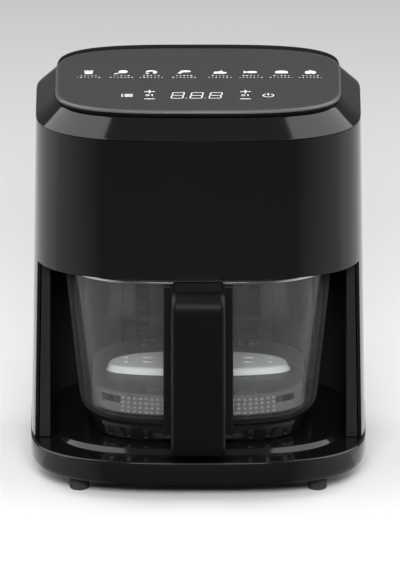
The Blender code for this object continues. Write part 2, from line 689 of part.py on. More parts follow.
def fan_wheel(name, radius, disc_low, disc_high, blade_low, blade_high, hub_low, hub_high, blades, look):
    """A disc and hub with straight blades round its edge; bored for the shaft."""
    middle = (0, CHAMBER_Y)
    hub = SHAFT_RADIUS + 5 * MM
    bore = SHAFT_RADIUS + CLEAR
    if hub_low < disc_low:
        profile = [(radius, disc_low), (radius, disc_high), (bore, disc_high), (bore, hub_low),
                   (hub, hub_low), (hub, disc_low)]
    else:
        profile = [(radius, disc_low), (radius, disc_high), (hub, disc_high), (hub, hub_high),
                   (bore, hub_high), (bore, disc_low)]
    wheel = turned(name, profile, look, middle, closed=True)
    vanes = []
    for number in range(blades):
        vane = block("vane", (radius * 0.64, -0.6 * MM, blade_low), (radius - MM, 0.6 * MM, blade_high),
                     look)
        turn = Matrix.Rotation(2 * math.pi * number / blades, 4, "Z")
        vane.data.transform(Matrix.Translation((0, CHAMBER_Y, 0)) @ turn)
        vanes.append(vane)
    join(wheel, many(f"{name}_vanes", vanes))
    return wheel


def rotor(axis):
    """The motor shaft and what turns with it."""
    middle = (0, CHAMBER_Y)
    shaft_low = FAN_TOP - BLADE - 9 * MM
    cooler = MOTOR_TOP + 6 * MM
    shaft = turned("motor_shaft", [(SHAFT_RADIUS - 0.5 * MM, shaft_low),
                                    (SHAFT_RADIUS, shaft_low + 0.5 * MM),
                                   (SHAFT_RADIUS, cooler + 11 * MM)], "steel", middle, count=20)
    hot = fan_wheel("hot_air_fan", FAN_RADIUS, FAN_TOP - MM, FAN_TOP, FAN_TOP - BLADE, FAN_TOP - 0.5 * MM,
                    FAN_TOP - 8 * MM, FAN_TOP, 10, "steel")
    cool = fan_wheel("cooling_fan", COOLER_RADIUS, cooler, cooler + 1.2 * MM, cooler + 0.6 * MM,
                     cooler + 9 * MM, cooler, cooler + 9 * MM, 12, "satin_black")
    nut_top = FAN_TOP - 8 * MM - CLEAR
    nut_low = nut_top - 4 * MM
    bore = (SHAFT_RADIUS + CLEAR) / math.cos(math.pi / 6)
    nut = turned("fan_nut", [(5 * MM, nut_low), (5 * MM, nut_top), (bore, nut_top), (bore, nut_low)],
                 "steel", middle, closed=True, count=6)
    for piece in (shaft, hot, cool, nut):
        place(piece, axis.location, axis)


def motor_group():
    middle = (0, CHAMBER_Y)
    shield = DOME_TOP + 2 * MM
    bore = SHAFT_RADIUS + 3 * MM
    turned("heat_shield", [(58 * MM, shield), (58 * MM, shield + MM), (bore, shield + MM), (bore, shield)],
           "insulation", middle, closed=True)

    foot = CEILING_TOP + CLEAR
    leg = CHAMBER_RADIUS + 12 * MM
    toe = leg + 12 * MM
    half = [(toe, foot), (toe, foot + PLATE), (leg + PLATE, foot + PLATE), (leg + PLATE, BRIDGE_TOP)]
    inner = [(leg, BRIDGE_BOTTOM), (leg, foot)]
    outline = half + [(-x, z) for x, z in reversed(half)]
    outline += [(-x, z) for x, z in reversed(inner)] + inner
    bridge = extruded("motor_bracket", outline, "Y", CHAMBER_Y - 17 * MM, CHAMBER_Y + 17 * MM, "steel")
    cut(bridge, turned("bridge_bore", [(9 * MM, BRIDGE_BOTTOM - MM), (9 * MM, BRIDGE_TOP + MM)],
                       "satin_black", middle, count=20))
    spots = [(side * 18 * MM, CHAMBER_Y) for side in (-1, 1)]
    holes = [turned("hole", [(SCREW_HOLE, BRIDGE_BOTTOM - MM), (SCREW_HOLE, BRIDGE_TOP + MM)],
                    "satin_black", spot, count=12) for spot in spots]
    cut(bridge, many("bridge_holes", holes))

    bore = SHAFT_RADIUS + CLEAR
    motor = turned("fan_motor", [
        (MOTOR_RADIUS - 2 * MM, MOTOR_BOTTOM), (MOTOR_RADIUS, MOTOR_BOTTOM + 2 * MM),
        (MOTOR_RADIUS, MOTOR_TOP - 5 * MM), (MOTOR_RADIUS - 6 * MM, MOTOR_TOP), (bore, MOTOR_TOP),
        (bore, MOTOR_BOTTOM),
    ], "aluminium", middle, closed=True)
    reach = MOTOR_BOTTOM + 9 * MM
    pockets = [turned("hole", [(SCREW_HOLE, MOTOR_BOTTOM - MM), (SCREW_HOLE, reach)],
                      "satin_black", spot, count=12) for spot in spots]
    cut(motor, many("motor_holes", pockets))
    for number, (x, y) in enumerate(spots, 1):
        head_top = BRIDGE_BOTTOM - CLEAR
        screw_down(f"motor_screw_{number}", x, y, head_top - 1.8 * MM, head_top, reach - MM)


def sensors_and_power():
    near = CHAMBER_Y - CHAMBER_RADIUS
    turned_y("temperature_probe", [(4 * MM, near - 10 * MM), (4 * MM, near - 3 * MM),
                                   (2.5 * MM, near - 3 * MM),
                                   (2.5 * MM, near + 6 * MM), (1.5 * MM, near + 7 * MM)],
             "steel", 0, PROBE_Z, count=12)
    fuse_y = CHAMBER_Y - ELEMENT_LOOP + 1.5 * MM
    block("thermal_fuse", (-7 * MM, fuse_y - 3 * MM, DOME_TOP + CLEAR),
          (7 * MM, fuse_y + 3 * MM, DOME_TOP + 6 * MM), "matte_black", MM)

    face = -BODY.half_width + 17 * MM
    board_low = CEILING_TOP + 8 * MM
    block("power_board", (face - 1.6 * MM, CHAMBER_Y - 45 * MM, board_low),
          (face, CHAMBER_Y + 45 * MM, board_low + 80 * MM), "circuit_board")
    start = face + CLEAR
    block("power_relay", (start, CHAMBER_Y - 40 * MM, board_low + 40 * MM),
          (start + 14 * MM, CHAMBER_Y - 22 * MM, board_low + 62 * MM), "matte_black", MM)
    block("filter_capacitor", (start, CHAMBER_Y + 22 * MM, board_low + 45 * MM),
          (start + 12 * MM, CHAMBER_Y + 40 * MM, board_low + 60 * MM), "insulation", MM)

    low = (-34 * MM, CHAMBER_Y + CHAMBER_RADIUS + 5 * MM, GRILLE_MIDDLE - 20 * MM)
    high = (34 * MM, BODY_BACK - 6 * MM, GRILLE_MIDDLE + 20 * MM)
    duct = block("air_duct", low, high, "aluminium")
    inner = 1.2 * MM
    cut(duct, block("duct_bore", (low[0] + inner, low[1] - MM, low[2] + inner),
                    (high[0] - inner, high[1] + MM, high[2] - inner), "satin_black"))


def mains_lead():
    """The inner mains lead, from the gland up behind the cavity to the power board."""
    face = -BODY.half_width + 17 * MM
    rise = CEILING_TOP + 16 * MM
    knots = [
        Vector((GLAND_X, LEAD_Y + 0.5 * MM, GLAND_Z - LEAD_RADIUS)),
        Vector((GLAND_X, LEAD_Y, GLAND_Z + 9 * MM)),
        Vector((GLAND_X, LEAD_Y, (GLAND_Z + rise) / 2)),
        Vector((GLAND_X, LEAD_Y, rise - 4 * MM)),
        Vector((GLAND_X - 12 * MM, LEAD_Y - 6 * MM, rise + 8 * MM)),
        Vector((face + 12 * MM, CHAMBER_Y + 72 * MM, rise + 12 * MM)),
        Vector((face + 6 * MM, CHAMBER_Y + 52 * MM, rise + 12 * MM)),
        Vector((face + 5 * MM, CHAMBER_Y + 30 * MM, rise + 12 * MM)),
    ]
    line = []
    for index in range(len(knots) - 1):
        before = knots[max(index - 1, 0)]
        here, there = knots[index], knots[index + 1]
        after = knots[min(index + 2, len(knots) - 1)]
        for step in range(4):
            t = step / 4
            line.append(0.5 * (2 * here + (there - before) * t
                               + (2 * before - 5 * here + 4 * there - after) * t * t
                               + (3 * here - before - 3 * there + after) * t ** 3))
    line.append(knots[-1])
    tube("mains_lead", line, LEAD_RADIUS, "rubber")


# ---------------------------------------------------------------- interlock
def interlock():
    tip = pot_plan(PLUNGER_Z).back + CLEAR
    collar = CAVITY_END + LINER + CLEAR
    plunger = turned_y("interlock_plunger", [
        (PLUNGER_RADIUS * 0.7, tip), (PLUNGER_RADIUS, tip + MM), (PLUNGER_RADIUS, collar),
        (PLUNGER_RADIUS + 1.5 * MM, collar), (PLUNGER_RADIUS + 1.5 * MM, collar + MM),
    ], "matte_black", 0, PLUNGER_Z)
    place(plunger, (0, collar, PLUNGER_Z))
    start = collar + MM + PLUNGER_TRAVEL + CLEAR
    block("microswitch", (-10 * MM, start, PLUNGER_Z - 5 * MM),
          (10 * MM, start + 5.5 * MM, PLUNGER_Z + 5 * MM),
          "matte_black", 0.5 * MM)


# ---------------------------------------------------------------- pot
CORNER_TOP = GLASS_BOTTOM + GLASS_CORNER
HOLDER_INSET = GLASS_CORNER * 0.6


def bowl_rings(inset):
    """Rings of the bowl's wall from its flat bottom up to the rim."""
    radius = GLASS_CORNER - inset
    rings = []
    for step in range(4):
        angle = math.pi / 2 * step / 3
        z = CORNER_TOP - radius * math.cos(angle)
        rings.append(pot_plan(CORNER_TOP, inset + radius * (1 - math.sin(angle))).at(z))
    rings.append(pot_plan(POT_TOP, inset).at(POT_TOP))
    return rings


def glass_bowl():
    return loft("glass_bowl", bowl_rings(0) + bowl_rings(GLASS)[::-1], "clear_glass")


def rim_band():
    low = POT_TOP - BAND_HEIGHT
    return loft("rim_band", [
        pot_plan(low, -CLEAR).at(low), pot_plan(low, -CLEAR - BAND).at(low),
        pot_plan(POT_TOP, -CLEAR - BAND).at(POT_TOP), pot_plan(POT_TOP, -CLEAR).at(POT_TOP),
    ], "steel", closed=True)


def pot_base():
    plan = pot_plan(CORNER_TOP, HOLDER_INSET)
    return loft("pot_base", [
        plan.grown(-2 * MM).at(HOLDER_TOP), plan.at(HOLDER_TOP - 1.5 * MM),
        plan.grown(-2 * MM).at(HOLDER_BOTTOM), plan.grown(-2 * MM - WALL).at(HOLDER_BOTTOM),
        plan.grown(-2 * MM - WALL).at(HOLDER_TOP - WALL),
    ], "satin_black")


BAND_BOTTOM = POT_TOP - BAND_HEIGHT
GRIP_TOP = HEAD_BOTTOM - 2 * CLEAR
GRIP_LOW = BASE_TOP + GRIP_FLOOR


def bracket_front(z):
    """Front face of the bracket at a height; it follows the slope of the glass."""
    return pot_plan(z).front - CLEAR - BRACKET


UPPER_SCREW = BAND_BOTTOM - 6 * MM
LOWER_SCREW = GRIP_LOW + GRIP_ARM / 2
SCREW_REACH = 11 * MM           # screw shank into the arm, ahead of the bracket


def handle_screw_shape(name, z, head, shank, back, front, look):
    return turned_y(name, [(head, back), (head, back - 1.8 * MM), (shank, back - 1.8 * MM), (shank, front)],
                    look, 0, z, count=12)


def screw_seat(z):
    """Where the back of a handle screw's head lies."""
    return bracket_front(z) + BRACKET - 0.4 * MM


def handle_bracket():
    base_front = pot_plan(CORNER_TOP, HOLDER_INSET).front - CLEAR
    top = BAND_BOTTOM - CLEAR
    heel = GLASS_BOTTOM - MM
    outline = [
        (bracket_front(GRIP_LOW), GRIP_LOW), (base_front, GRIP_LOW), (base_front, heel),
        (pot_plan(CORNER_TOP).front - CLEAR, heel), (pot_plan(CORNER_TOP).front - CLEAR, CORNER_TOP),
        (pot_plan(top).front - CLEAR, top),
        (bracket_front(top), top),
    ]
    half = BRACKET_WIDTH / 2
    piece = extruded("handle_bracket", outline, "X", -half, half, "gloss_black")
    for number, z in enumerate((UPPER_SCREW, LOWER_SCREW)):
        seat = screw_seat(z)
        front = bracket_front(z) - 2 * MM
        bore = turned_y(f"bracket_bore_{number}", [
            (3.2 * MM + CLEAR, seat + 20 * MM), (3.2 * MM + CLEAR, seat - 1.8 * MM - CLEAR),
            (SCREW_HOLE, seat - 1.8 * MM - CLEAR), (SCREW_HOLE, front)], "satin_black", 0, z, count=12)
        cut(piece, bore)
    return piece


def handle_grip():
    """A C-shaped grip: the bar in front, with an arm back to the bracket at each end."""
    upper_under = GRIP_TOP - GRIP_ARM
    lower_over = GRIP_LOW + GRIP_ARM
    bar_back = GRIP_FRONT + GRIP_BAR
    foot_bend = 10 * MM
    inner_bend = 8 * MM

    def arm_end(z):
        return bracket_front(z) - CLEAR

    outline = [(arm_end(upper_under), upper_under), (arm_end(GRIP_TOP), GRIP_TOP)]
    outline += arc((GRIP_FRONT + GRIP_BEND, GRIP_TOP - GRIP_BEND), GRIP_BEND, 90, 180, 6)
    outline += arc((GRIP_FRONT + foot_bend, GRIP_LOW + foot_bend), foot_bend, 180, 270, 4)
    outline += [(arm_end(GRIP_LOW), GRIP_LOW), (arm_end(lower_over), lower_over)]
    outline += arc((bar_back + inner_bend, lower_over + inner_bend), inner_bend, 270, 180, 3)
    outline += arc((bar_back + inner_bend, upper_under - inner_bend), inner_bend, 180, 90, 3)
    half = GRIP_WIDTH / 2
    piece = extruded("handle_grip", outline, "X", -half, half, "gloss_black", 3 * MM)
    for number, z in enumerate((UPPER_SCREW, LOWER_SCREW)):
        start = bracket_front(z)
        bore = turned_y(f"grip_bore_{number}", [(SCREW_HOLE, start + 3 * MM),
                                                    (SCREW_HOLE, start - SCREW_REACH)],
                        "satin_black", 0, z, count=12)
        cut(piece, bore)
    return piece


def pot_group(frame):
    pieces = [glass_bowl(), rim_band(), pot_base(), handle_bracket(), handle_grip()]
    for name, z in (("handle_screw_upper", UPPER_SCREW), ("handle_screw_lower", LOWER_SCREW)):
        front = bracket_front(z) - SCREW_REACH + MM
        pieces.append(handle_screw_shape(name, z, 3.2 * MM, 1.6 * MM, screw_seat(z), front, "steel"))
    for piece in pieces:
        place(piece, frame.location, frame)


# ---------------------------------------------------------------- crisper
def plate_plan(inset=0):
    """The plate's edge follows the inside of the glass at the plate's level."""
    return pot_plan(PLATE_BOTTOM, GLASS + PLATE_GAP + inset)


def crisper_plate():
    top = PLATE_LEVEL + PLATEAU
    edge = plate_plan()
    skirt = 3 * MM
    piece = loft("crisper_plate", [
        PLATEAU_PLAN.grown(-2 * MM).at(top),
        PLATEAU_PLAN.at(top - MM),
        PLATEAU_PLAN.grown(2 * MM).at(PLATE_LEVEL),
        edge.grown(-skirt).at(PLATE_LEVEL),
        edge.grown(-skirt / 3).at(PLATE_LEVEL - 2 * MM),
        edge.at(PLATE_BOTTOM),
        edge.grown(-PLATE).at(PLATE_BOTTOM),
        edge.grown(-skirt / 3 - PLATE).at(PLATE_LEVEL - 2 * MM - PLATE),
        edge.grown(-skirt - PLATE).at(PLATE_LEVEL - PLATE),
        PLATEAU_PLAN.grown(2 * MM - PLATE).at(PLATE_LEVEL - PLATE),
        PLATEAU_PLAN.grown(-2 * MM).at(top - PLATE),
    ], "coated_plate")
    slots = []
    for side in (-1, 1):
        for row in (-1, 1):
            x = side * PLATEAU_HALF * 0.57
            y = CHAMBER_Y + row * 5.5 * MM
            slots.append(block("slot", (x - 4 * MM, y - 1.5 * MM, PLATE_LEVEL - 5 * MM),
                               (x + 4 * MM, y + 1.5 * MM, top + 5 * MM), "satin_black"))
    around = 12
    for number in range(around):
        angle = 2 * math.pi * (number + 0.5) / around
        x = (PLATEAU_HALF + edge.half_width) / 2 * math.cos(angle)
        y = CHAMBER_Y + (PLATEAU_DEPTH / 2 + 68 * MM) / 2 * 1.1 * math.sin(angle)
        slots.append(block("slot", (x - 3 * MM, y - 3 * MM, PLATE_LEVEL - 5 * MM),
                           (x + 3 * MM, y + 3 * MM, PLATE_LEVEL + 2 * MM), "satin_black"))
    cut(piece, many("plate_slots", slots))
    return piece


def crisper_bumpers():
    """Four soft pads under the skirt's corners keep the plate off the glass."""
    edge = plate_plan()
    pads = []
    for row, y in (("front", edge.front + 22 * MM), ("rear", edge.back - 22 * MM)):
        for side, sign in (("left", -1), ("right", 1)):
            x = sign * (edge.half_width * 0.72)
            low = GLASS_BOTTOM + GLASS + CLEAR
            pads.append(block(f"crisper_bumper_{row}_{side}", (x - 4 * MM, y - 4 * MM, low),
                              (x + 4 * MM, y + 4 * MM, PLATE_LEVEL - PLATE - CLEAR), "silicone", MM))
    return pads


def crisper_group(frame):
    for piece in [crisper_plate()] + crisper_bumpers():
        place(piece, frame.location, frame)


# ---------------------------------------------------------------- assembly
def build():
    for leftover in list(bpy.data.objects):
        bpy.data.objects.remove(leftover)
    base_tray()
    base_bottom_cover()
    feet_and_base_screws()
    outer_shell()
    cavity_liner()
    head_bottom_cover()
    top_cover()
    top_bezel()
    control_panel()
    touch_electronics()
    rear_fittings()
    pot_seal()
    heater_dome()
    heating_element()
    element_guard()
    motor_group()
    sensors_and_power()
    mains_lead()
    interlock()
    rotor(empty("rotor_axis", (0, CHAMBER_Y, MOTOR_BOTTOM)))
    pot_group(empty("pot_frame", (0, HEAD_FRONT, PLATFORM)))
    crisper_group(empty("crisper_frame", (0, CHAMBER_Y, PLATE_BOTTOM)))


build()
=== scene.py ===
"""Looks of the air fryer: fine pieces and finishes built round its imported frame."""
import json
import math
import random

import bmesh
import bpy
from bpy.props import FloatProperty, FloatVectorProperty, IntProperty, PointerProperty
from mathutils import Matrix, Vector


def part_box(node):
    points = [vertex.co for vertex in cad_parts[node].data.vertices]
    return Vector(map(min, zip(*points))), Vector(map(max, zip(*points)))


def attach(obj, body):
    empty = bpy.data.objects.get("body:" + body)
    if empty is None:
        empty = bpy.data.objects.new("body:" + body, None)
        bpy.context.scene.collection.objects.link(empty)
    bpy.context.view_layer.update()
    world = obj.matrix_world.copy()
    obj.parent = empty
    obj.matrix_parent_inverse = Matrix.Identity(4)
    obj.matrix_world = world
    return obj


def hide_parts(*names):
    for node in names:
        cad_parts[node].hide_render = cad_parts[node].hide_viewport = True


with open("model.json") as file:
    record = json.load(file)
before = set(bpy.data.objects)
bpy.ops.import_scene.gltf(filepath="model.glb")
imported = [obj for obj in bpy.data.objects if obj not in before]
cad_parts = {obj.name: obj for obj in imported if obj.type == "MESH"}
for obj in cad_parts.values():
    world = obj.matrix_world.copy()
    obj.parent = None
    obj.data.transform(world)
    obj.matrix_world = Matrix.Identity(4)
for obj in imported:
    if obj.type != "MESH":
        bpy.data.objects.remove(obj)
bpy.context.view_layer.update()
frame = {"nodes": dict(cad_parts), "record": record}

bl_info = {
    "name": "Glass Pot Air Fryer",
    "version": (1, 0, 0),
    "blender": (4, 5, 0),
    "location": "View3D > Sidebar > Air Fryer",
    "description": "Builds the fine pieces and finishes of an air fryer round its frame",
    "category": "Object",
}

MM = 0.001
GAP = 0.3 * MM                  # clearance the frame keeps between pieces
ROUND = 180                     # points round a body outline


# ---------------------------------------------------------------- measures read from the frame
class Span:
    """A node's box at rest, with short names for its sides and its middle."""

    def __init__(self, node):
        low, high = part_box(node)
        self.left, self.front, self.bottom = low
        self.right, self.back, self.top = high
        self.half = (self.right - self.left) / 2
        self.x, self.middle, self.z = ((a + b) / 2 for a, b in zip(low, high))


BASE = Span("base_tray")
SHELL = Span("outer_shell")
COVER = Span("top_cover")
BEZEL = Span("top_bezel")
PANEL = Span("control_panel")
LINER = Span("cavity_liner")
BOWL = Span("glass_bowl")
BAND = Span("rim_band")
HOLDER = Span("pot_base")
BRACKET = Span("handle_bracket")
GRIP = Span("handle_grip")
PLATE = Span("crisper_plate")
GRILLE = Span("air_outlet_grille")
GLAND = Span("cord_gland")

BASE_TOP = SHELL.bottom - GAP
PARTING = SHELL.top
SHOULDER = BEZEL.bottom - GAP
HEAD_FRONT = COVER.front
DRAFT = (SHELL.half - COVER.half) / (PARTING - SHELL.bottom)
HEAD_BOTTOM = LINER.top + GAP


# ---------------------------------------------------------------- settings
class FryerBody(bpy.types.PropertyGroup):
    """Sizes and colours of the housing."""

    curve_front: FloatProperty(
        name="Front curve", description="Depth of the body's curved front",
        default=86 * MM, min=20 * MM, max=150 * MM, unit="LENGTH")
    curve_back: FloatProperty(
        name="Back curve", description="Depth of the body's curved back",
        default=80 * MM, min=20 * MM, max=150 * MM, unit="LENGTH")
    power: FloatProperty(
        name="Corner power", description="Squareness of the body's outline; 2 is an ellipse",
        default=3.0, min=2.0, max=8.0)
    wall: FloatProperty(
        name="Wall", description="Thickness of the moulded wall",
        default=2.5 * MM, min=MM, max=5 * MM, unit="LENGTH")
    edge: FloatProperty(
        name="Edge radius", description="Radius of the shell's exposed edges",
        default=0.6 * MM, min=0.1 * MM, max=2 * MM, unit="LENGTH")
    frame_setback: FloatProperty(
        name="Side wall setback", description="Head front to the front faces of the side walls",
        default=50 * MM, min=10 * MM, max=120 * MM, unit="LENGTH")
    platform: FloatProperty(
        name="Platform step", description="Rise of the platform above the base ledge",
        default=4.5 * MM, min=MM, max=10 * MM, unit="LENGTH")
    ledge: FloatProperty(
        name="Base ledge", description="Base front to the platform",
        default=18 * MM, min=5 * MM, max=40 * MM, unit="LENGTH")
    black: FloatVectorProperty(
        name="Shell colour", description="Colour of the glossy plastic",
        default=(0.0032, 0.0032, 0.0034), size=3, min=0, max=1, subtype="COLOR")
    inner_black: FloatVectorProperty(
        name="Inner colour", description="Colour of the satin plastic inside the cavity",
        default=(0.009, 0.009, 0.0094), size=3, min=0, max=1, subtype="COLOR")


class FryerPanel(bpy.types.PropertyGroup):
    """The control panel and what is printed on it."""

    grey: FloatVectorProperty(
        name="Panel colour", description="Colour of the touch panel",
        default=(0.026, 0.0265, 0.0275), size=3, min=0, max=1, subtype="COLOR")
    ink: FloatVectorProperty(
        name="Ink", description="Colour of the printed symbols",
        default=(0.78, 0.78, 0.78), size=3, min=0, max=1, subtype="COLOR")
    foods_y: FloatProperty(
        name="Food row", description="Panel front to the row of food symbols",
        default=105 * MM, min=0, max=170 * MM, unit="LENGTH")
    keys_y: FloatProperty(
        name="Key row", description="Panel front to the row of keys and digits",
        default=42 * MM, min=0, max=170 * MM, unit="LENGTH")
    digit_width: FloatProperty(
        name="Digit width", description="Width of one digit of the display",
        default=9.6 * MM, min=3 * MM, max=20 * MM, unit="LENGTH")
    digit_height: FloatProperty(
        name="Digit height", description="Height of one digit of the display",
        default=16 * MM, min=5 * MM, max=30 * MM, unit="LENGTH")


class FryerPot(bpy.types.PropertyGroup):
    """The glass pot, its handle and the plate inside it."""

    taper: FloatProperty(
        name="Taper", description="How much the pot narrows for each unit down",
        default=0.104, min=0, max=0.3)
    glass: FloatProperty(
        name="Glass", description="Thickness of the glass",
        default=3.6 * MM, min=2 * MM, max=6 * MM, unit="LENGTH")
    corner: FloatProperty(
        name="Corner radius", description="Radius between the pot's wall and its bottom",
        default=12 * MM, min=4 * MM, max=30 * MM, unit="LENGTH")
    tint: FloatVectorProperty(
        name="Glass tint", description="Colour that the glass lets through",
        default=(0.86, 0.87, 0.87), size=3, min=0, max=1, subtype="COLOR")
    plateau_width: FloatProperty(
        name="Plateau width", description="Width of the raised middle of the crisper plate",
        default=141 * MM, min=40 * MM, max=160 * MM, unit="LENGTH")
    plateau_depth: FloatProperty(
        name="Plateau depth", description="Front-to-back size of the raised middle",
        default=50 * MM, min=20 * MM, max=120 * MM, unit="LENGTH")
    dots: IntProperty(
        name="Skirt dots", description="Pressed dots in each row along the front of the plate's skirt",
        default=27, min=3, max=60)


class FryerSettings(bpy.types.PropertyGroup):
    """Everything a user can change, in three groups."""

    body: PointerProperty(type=FryerBody, name="Body", description="The housing")
    panel: PointerProperty(type=FryerPanel, name="Panel", description="The control panel")
    pot: PointerProperty(type=FryerPot, name="Pot", description="The pot and its plate")


def settings():
    return bpy.context.scene.air_fryer


# ---------------------------------------------------------------- outlines
PANEL_CURVES = (68 * MM, 66 * MM, 3.3)      # front depth, back depth and corner power
POT_CURVES = (84 * MM, 80 * MM)
CAVITY_HALF = 114.5 * MM                    # half the room between the side walls
CAVITY_BACK_CURVE = 75 * MM
LINER_WALL = 2 * MM


class Outline:
    """A rounded plan outline: two superellipse ends on straight sides."""

    def __init__(self, half, front, back, front_depth, back_depth, power=3.0):
        self.half = half
        self.front = front
        self.back = back
        self.front_depth = front_depth
        self.back_depth = back_depth
        self.power = power

    def grown(self, by):
        return Outline(self.half + by, self.front - by, self.back + by,
                       self.front_depth + by, self.back_depth + by, self.power)

    def end(self, rear):
        """Centre line and signed depth of the curved end at the back or the front."""
        if rear:
            return self.back - self.back_depth, self.back_depth
        return self.front + self.front_depth, self.front_depth

    def at(self, angle, z):
        across, along = math.cos(angle), math.sin(angle)
        reach = (abs(across) ** self.power + abs(along) ** self.power) ** (-1 / self.power)
        centre, depth = self.end(along >= 0)
        return Vector((self.half * reach * across, centre + depth * reach * along, z))

    def angle_of(self, point):
        centre, depth = self.end(point.y >= self.back - self.back_depth - 1e-6)
        return math.atan2((point.y - centre) / depth, point.x / self.half)

    def width_at(self, y):
        share = max((self.front + self.front_depth - y) / self.front_depth, 0)
        return self.half * (1 - share ** self.power) ** (1 / self.power)

    def fall_at(self, x):
        """How far the curved ends have fallen away at x, as a share of their depth."""
        return 1 - (1 - abs(x / self.half) ** self.power) ** (1 / self.power)

    def front_at(self, x):
        return self.front + self.front_depth * self.fall_at(x)

    def back_at(self, x):
        return self.back - self.back_depth * self.fall_at(x)


def outline_of(span, curves):
    return Outline(span.half, span.front, span.back, *curves)


def body_outline(z, inset=0.0):
    """The housing's outline at a height; it widens towards the floor."""
    body = settings().body
    top = outline_of(COVER, (body.curve_front, body.curve_back, body.power))
    return top.grown(DRAFT * (PARTING - z) - inset)


def base_outline():
    body = settings().body
    return outline_of(BASE, (body.curve_front + 6 * MM, body.curve_back + 4 * MM, body.power))


def stage_outline():
    """The raised platform in the base that the pot slides on."""
    body = settings().body
    inset = 1.2 * MM
    return Outline(CAVITY_HALF - inset, BASE.front + body.ledge, LINER.back - LINER_WALL - inset,
                   body.curve_front - 2 * MM, CAVITY_BACK_CURVE - MM, body.power)


def cavity_outline():
    body = settings().body
    return Outline(CAVITY_HALF, HEAD_FRONT, LINER.back - LINER_WALL, body.curve_front,
                   CAVITY_BACK_CURVE, body.power)


def pot_outline(z, inset=0.0):
    return outline_of(BOWL, POT_CURVES).grown(-settings().pot.taper * (BOWL.top - z) - inset)


# ---------------------------------------------------------------- mesh tools
def verts_of(items):
    return [item for item in items if isinstance(item, bmesh.types.BMVert)]


def edges_of(items):
    return [item for item in items if isinstance(item, bmesh.types.BMEdge)]


def rings(outline, base, *steps):
    """Sections from (growth, rise) pairs in millimetres, off an outline and a base height."""
    return [(outline.grown(growth * MM), base + rise * MM) for growth, rise in steps]


def lofted(sections, points=ROUND):
    """Extrudes a ring through (outline, height) sections; gives the bmesh and its two end rings."""
    bm = bmesh.new()
    outline, z = sections[0]
    made = bmesh.ops.create_circle(bm, cap_ends=False, segments=points, radius=1.0)
    for number, vert in enumerate(made["verts"]):
        vert.co = outline.at(2 * math.pi * (number + 0.5) / points, z)
    first = ring = bm.edges[:]
    for target, level in sections[1:]:
        grown = bmesh.ops.extrude_edge_only(bm, edges=ring)["geom"]
        for vert in verts_of(grown):
            vert.co = target.at(outline.angle_of(vert.co), level)
        ring = [edge for edge in edges_of(grown) if edge.is_boundary]
        outline = target
    return bm, first, ring


def skin(sections, points=ROUND, closed=True):
    """A solid through sections; closed joins the last ring to the first, and else both are capped."""
    bm, first, last = lofted(sections, points)
    if closed:
        bmesh.ops.bridge_loops(bm, edges=first + last)
    else:
        bmesh.ops.edgenet_fill(bm, edges=first)
        bmesh.ops.edgenet_fill(bm, edges=last)
    bmesh.ops.recalc_face_normals(bm, faces=bm.faces[:])
    return bm


def turned(profile, centre, steps=64, axis=(0, 0, 1)):
    """Spins (radius, distance along the axis) points about an axis through the centre."""
    bm = bmesh.new()
    way = Vector(axis)
    chain = [bm.verts.new(Vector(centre) + Vector((r, 0, 0)) + way * along) for r, along in profile]
    edges = [bm.edges.new(pair) for pair in zip(chain, chain[1:])]
    bmesh.ops.spin(bm, geom=chain + edges, cent=centre, axis=axis, angle=2 * math.pi, steps=steps,
                   use_merge=True)
    bmesh.ops.remove_doubles(bm, verts=bm.verts[:], dist=1e-6)
    bmesh.ops.recalc_face_normals(bm, faces=bm.faces[:])
    return bm


def box_into(bm, low, high, edge=0.0, segments=2):
    """Adds a box with rounded edges."""
    size = Vector(high) - Vector(low)
    middle = (Vector(high) + Vector(low)) / 2
    matrix = Matrix.Translation(middle) @ Matrix.Diagonal((*size, 1))
    made = bmesh.ops.create_cube(bm, size=1, matrix=matrix)["verts"]
    if edge:
        rims = list({e for vert in made for e in vert.link_edges})
        bmesh.ops.bevel(bm, geom=rims, offset=edge, offset_type="OFFSET", segments=segments,
                        profile=0.5, affect="EDGES", material=-1)
    return made


def post_into(bm, x, y, half_x, half_y, low, high, edge):
    """Adds an upright box with rounded edges round a spot in plan."""
    box_into(bm, (x - half_x, y - half_y, low), (x + half_x, y + half_y, high), edge)


def bar_into(bm, centre, radius, length, segments):
    """Adds a round bar that lies from front to back."""
    matrix = Matrix.Translation(centre) @ Matrix.Rotation(math.pi / 2, 4, "X")
    bmesh.ops.create_cone(bm, cap_ends=True, segments=segments, radius1=radius, radius2=radius,
                          depth=length, matrix=matrix)


def prism_into(bm, corners, push):
    """Adds a flat outline and pushes it out into a solid."""
    face = bm.faces.new([bm.verts.new(corner) for corner in corners])
    grown = bmesh.ops.extrude_face_region(bm, geom=[face])["geom"]
    moved = verts_of(grown)
    bmesh.ops.translate(bm, verts=moved, vec=push)
    shell = list({f for vert in moved for f in vert.link_faces} | {face})
    bmesh.ops.recalc_face_normals(bm, faces=shell)


def round_edges(piece, width, segments, angle):
    bevel = piece.modifiers.new("Rounded edges", "BEVEL")
    bevel.width = width
    bevel.segments = segments
    bevel.limit_method = "ANGLE"
    bevel.angle_limit = math.radians(angle)
    bevel.harden_normals = True


def put(name, bm):
    """Turns a bmesh into an object of the scene."""
    mesh = bpy.data.meshes.new(name)
    bm.to_mesh(mesh)
    bm.free()
    piece = bpy.data.objects.new(name, mesh)
    bpy.context.scene.collection.objects.link(piece)
    return piece


def make(name, bm, body, slot, replaces=(), finish=None, sharp=38):
    """Makes a piece that rides on a body of the frame, in its slot's finish unless told otherwise."""
    piece = put(name, bm)
    mesh = piece.data
    mesh.shade_smooth()
    mesh.set_sharp_from_angle(angle=math.radians(sharp))
    mesh.materials.append(finish_of(finish or slot))
    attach(piece, body)
    if replaces:
        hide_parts(*replaces)
    return piece


